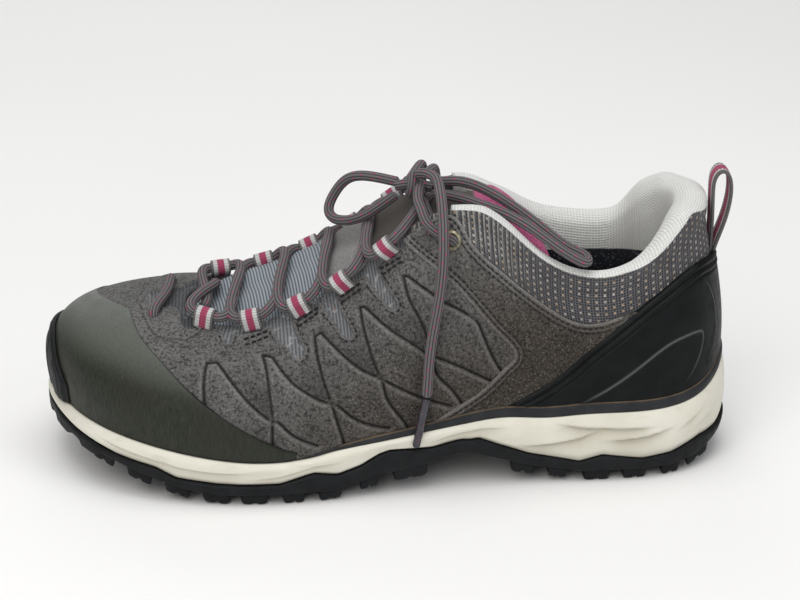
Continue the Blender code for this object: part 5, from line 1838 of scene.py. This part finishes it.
# How much lower the roll and its woven strip lie at the very back
REAR_DROP = 4.0
FAR_LIP = (
    # along, height of the collar's roll over the wall on the inner side
    (106.0, 0.8), (100.0, 1.3), (92.0, 2.4), (87.0, 4.2), (81.0, 6.0), (74.0, 7.4), (65.0, 9.0),
    (56.0, 9.6), (47.0, 8.8), (42.0, 8.2), (38.0, 9.4), (33.0, 13.2), (28.0, 14.4), (20.0, 12.4),
    (14.0, 11.2), (9.0, 11.0),
)


def add_collar():
    """A padded roll that hooks over the wall at the ankle, taller at the heel and on its inner side."""
    behind = WALL + 2 * GAP
    loops, values = [], {key: [] for key in ("run", "down", "ring", "woven", "deep", "streak")}
    us = np.linspace(COLLAR_FIRST, COLLAR_LAST, COLLAR_COLUMNS)
    far_rows = smooth_line(FAR_LIP)[::-1]
    for u, length in zip(us, np.interp(us, EDGE_MARKS, EDGE_RUN)):
        edge = edge_line(u)
        along = edge[0]
        out = outward(edge_line, u)
        from_end = min(u - COLLAR_FIRST, COLLAR_LAST - u)
        taper = smooth_step(from_end / 0.4)
        growth = np.array((1.0, smooth_step(from_end / 0.7), smooth_step(1 - (along - 14) / 26)))
        rear = smooth_step((22 - along) / 11)
        lip = growth @ COLLAR_LIP * (0.3 + 0.7 * taper)
        lip += smooth_step((u - 9.0) / 0.6) * (read(far_rows, along) - lip)
        lip -= REAR_DROP * rear
        pad = growth @ COLLAR_PAD * (0.35 + 0.65 * taper)
        thick = pad + WALL
        back = skin(u, COLLAR_DEEP, -behind)
        back[-1] = skin(u, 1.0, -behind - 2 * GAP) + 2 * GAP * UP
        front = skin(u, COLLAR_DEEP[::-1], -behind - pad * np.array((1.0, 1.0, 0.9, 0.35)))
        top = edge + 2 * GAP * UP
        over = [
            skin(u, 0.955, 0.15),
            skin(u, 0.97, 0.55),
            top + 0.7 * out,
            top + 0.9 * out + 0.3 * lip * UP,
            top + 0.5 * out + 0.7 * lip * UP,
            top - 0.28 * thick * out + lip * UP,
            top - 0.68 * thick * out + 0.92 * lip * UP,
            top - (pad + behind - 0.4) * out + 0.55 * lip * UP,
        ]
        even, marks, _ = even_ring(np.concatenate([back, over, front]), COLLAR_AROUND, 6)
        aside = (even - edge) @ out
        rise = even[:, 2] - edge[2]
        strip = 0.8 + 2.4 * smooth_step((45 - along) / 20) + 5.5 * smooth_step((18.5 - along) / 9)
        strip -= REAR_DROP * rear
        outside = aside > -0.45 * thick
        loops.append(even)
        values["run"].append(np.full(COLLAR_AROUND, length))
        values["down"].append(-rise)
        values["ring"].append(marks)
        values["woven"].append(np.where(outside, lip - strip - rise, -strip))
        values["deep"].append(np.where(aside < -behind + 1.0, COLLAR_LINING_FOOT - even[:, 2], -5.0))
        values["streak"].append(streak_share(u, -rise))
    name = "collar_lining"
    piece = loft(f"look_{name}", loops, LOOK["lining"], values=values, replaces=[name], slot="lining_mesh")


TONGUE_ALONG = 260
TONGUE_ACROSS = 41
TONGUE_RIB = 1.25
# Along values behind which the felt panel, the brown fleece and the red end lie
FELT_FROM = 159
BROWN_FROM = 141
RED_FROM = 99
# Along and side of the tongue's middle line
TONGUE_MIDDLE = ((76, -1.5), (110, 0.0), (150, 0.3), (217, 3.0))


def add_tongue():
    """The padded tongue: ribbed below, a smooth raised panel towards the top and a red end in the collar."""
    across = np.linspace(-1, 1, TONGUE_ACROSS)
    rows = Curve(TONGUE)(np.linspace(0, len(TONGUE) - 1, TONGUE_ALONG))
    loops, values = [], {key: [] for key in ("run", "down", "felt", "red", "dark")}
    far_side = smooth_step((across - 0.3) / 0.5)
    for (along, half, height, outer, inner, thick, turn), length in zip(rows, along_line(rows[:, [0, 2]])):
        place = along + turn * across
        droop = np.where(across < 0, outer, 0.2 * inner)
        round_off = np.sqrt(1 - 0.8 * across**4)
        panel = smooth_step((FELT_FROM - place) / 1.5) * smooth_step((across + 0.85) / 0.06)
        red = smooth_step((RED_FROM - place) / 1.5)
        brown = smooth_step((BROWN_FROM - place) / 4) * (1 - red)
        ribs = 0.16 * np.sin(2 * np.pi * length / TONGUE_RIB) * (1 - panel) * (1 - red)
        bump = 8.0 * bell(along, 85, 8) * smooth_step((across + 0.45) / 0.6)
        bump = bump + 1.5 * far_side * smooth_step((along - 112) / 12)
        bump = bump + 1.6 * far_side * bell(along, 190, 13)
        curve = height - droop * across**2 + bump
        across_side = read(TONGUE_MIDDLE, along) + half * across
        top = np.stack([place, across_side, curve + ribs - 0.3 + 0.5 * panel], -1)
        base = np.stack([place, across_side, curve - bump - thick * round_off], -1)
        loops.append(np.concatenate([top, base[::-1]]))
        values["run"].append(np.full(2 * TONGUE_ACROSS, length))
        values["down"].append(np.concatenate([half * across, half * across[::-1]]))
        values["felt"].append(np.concatenate([panel, panel[::-1]]))
        values["red"].append(np.concatenate([red, red]))
        values["dark"].append(np.concatenate([0.85 * brown, 0.85 * brown]))
    piece = loft("look_tongue", loops, LOOK["tongue"], values=values, replaces=["tongue"], slot="tongue_knit")


PULL_LOOP = (
    # along, height of the webbing's middle line, from its seam up the inside, over and down the back
    (7.1, 82.5), (6.9, 88.0), (6.7, 97.0), (6.8, 106.0), (6.2, 112.5), (3.4, 115.4), (0.4, 112.5),
    (-0.1, 105.0), (1.6, 96.0), (4.2, 88.0), (5.9, 82.5),
)
PULL_WIDTH = 11.0
PULL_THICKNESS = 1.4
PULL_AROUND = 36
PULL_RIB = 1.1


def add_pull_loop():
    path = smooth_line(PULL_LOOP, 20)
    run = unit(np.gradient(path, axis=0))
    normal = np.stack([-run[:, 1], run[:, 0]], -1)
    length = along_line(path)
    turn = np.linspace(0, 2 * np.pi, PULL_AROUND, endpoint=False) + np.pi / PULL_AROUND
    flat = np.sign(np.cos(turn)) * np.abs(np.cos(turn)) ** 0.35
    bulge = np.sign(np.sin(turn)) * np.abs(np.sin(turn)) ** 0.6
    rib = np.sin(2 * np.pi * length / PULL_RIB)
    loops, values = [], {"across": [], "rib": []}
    for point, off, wave in zip(path, normal, rib):
        tall = PULL_THICKNESS / 2 * (1 + 0.12 * wave)
        middle = point + np.outer(bulge * tall, off)
        loops.append(np.stack([middle[:, 0], flat * PULL_WIDTH / 2, middle[:, 1]], -1))
        values["across"].append(flat * PULL_WIDTH / 2)
        values["rib"].append(np.full(len(turn), wave))
    loft("look_pull_loop", loops, LOOK["pull"], values=values, replaces=["pull_loop"], slot="webbing")


LOOP_COLUMNS = 32
LOOP_AROUND = 66
# Length of a rib, thickness of the tape, radius inside the loop and how far its ends lie down the wall
LOOP_RIB = 1.15
LOOP_TAPE = 0.75
LOOP_HUG = 2.25
LOOP_TAIL = 3.3


def loop_outline(grow, tail):
    """A drop-shaped outline round the lace whose point lies on the wall: down and lift of its points."""
    reach = np.hypot(*tail)
    lean = np.arctan2(tail[1], tail[0])
    radius = LOOP_HUG + grow
    open_half = np.arccos(min(radius / reach, 0.99))
    turn = np.linspace(lean + open_half, lean + 2 * np.pi - open_half, 60)
    arc = radius * np.stack([np.cos(turn), np.sin(turn)], -1)
    point = np.array(tail) * (1 + 0.4 * grow / reach)
    side = np.array((-np.sin(lean), np.cos(lean))) * (0.25 + 0.45 * grow)
    return even_ring(np.concatenate([arc, [point - side, point + side]]), LOOP_AROUND, 2)


def add_lace_loops():
    """Ribbed tape folded round the lace, with its two ends laid down on the wall."""
    shift = np.linspace(-1, 1, LOOP_COLUMNS) * LOOP_LENGTH / 2
    for number, along in enumerate(LACE_ROWS, 1):
        for side, word in SIDES.items():
            _, heelward, down, lift = throat_frame(side, along)
            centre = loop_centre(side, along)
            u = edge_station(side, along - side * ROW_SKEW / 2)
            t = np.linspace(1.0, 0.7, 61)
            gone = along_line(wall_point(u, t))
            foot = skin(u, np.interp(LOOP_TAIL + LOOP_REACH, gone, t), 0.55) - centre
            tail = (foot @ down, foot @ lift)
            outer, marks, total = loop_outline(LOOP_TAPE, tail)
            within = loop_outline(0.0, tail)[0]
            count = round(total / LOOP_RIB)
            rib = np.sin(2 * np.pi * count * marks / total)
            loops, values = [], {"across": [], "rib": []}
            for flat, relief, at_all in ((outer, 0.018, shift), (within, 0.0, shift[::-1])):
                for at in at_all:
                    edge = smooth_step((LOOP_LENGTH / 2 - abs(at)) / 0.35)
                    shape = within + (flat - within) * (0.55 + 0.45 * edge)
                    shape = shape * (1 + relief * edge * rib)[:, None]
                    loops.append(centre + at * heelward + shape @ np.stack([down, lift]))
                    values["across"].append(np.full(LOOP_AROUND, at))
                    values["rib"].append(rib)
            name = f"lace_loop_{word}_{number}"
            loft(f"look_{name}", loops, LOOK["loop"], True, values=values, replaces=[name], slot="webbing")


EYELET_TALL = 0.9
RING_RADIUS = 3.9
RING_HOLE = 2.3
RING_AROUND = 64
RING_ROLL = 20


def add_eyelets():
    """Pressed rings with a rolled rim round the top lace holes."""
    turn = 2 * np.pi * np.arange(RING_AROUND) / RING_AROUND
    roll = 2 * np.pi * np.arange(RING_ROLL) / RING_ROLL
    base = SEAT + QUARTER_THICK + GAP
    middle, half = (RING_HOLE + RING_RADIUS) / 2, (RING_RADIUS - RING_HOLE) / 2
    for side, word in SIDES.items():
        u = edge_station(side, TOP_ROW)
        normal = wall_normal(u, EYELET_T)
        across = unit(np.cross(normal, UP))
        flat = np.outer(np.cos(turn), across) + np.outer(np.sin(turn), np.cross(normal, across))
        loops = []
        for a in roll:
            radius = middle + half * np.cos(a)
            lift = base + EYELET_TALL * (0.5 + 0.5 * np.sin(a)) * (1.0 - 0.25 * np.cos(a))
            loops.append(skin(u, EYELET_T, lift) + radius * flat)
        name = f"eyelet_{word}"
        loft(f"look_{name}", loops, LOOK["metal"], True, replaces=[name], slot="eyelet_metal")


add_collar()
add_tongue()
add_pull_loop()
add_lace_loops()
add_eyelets()
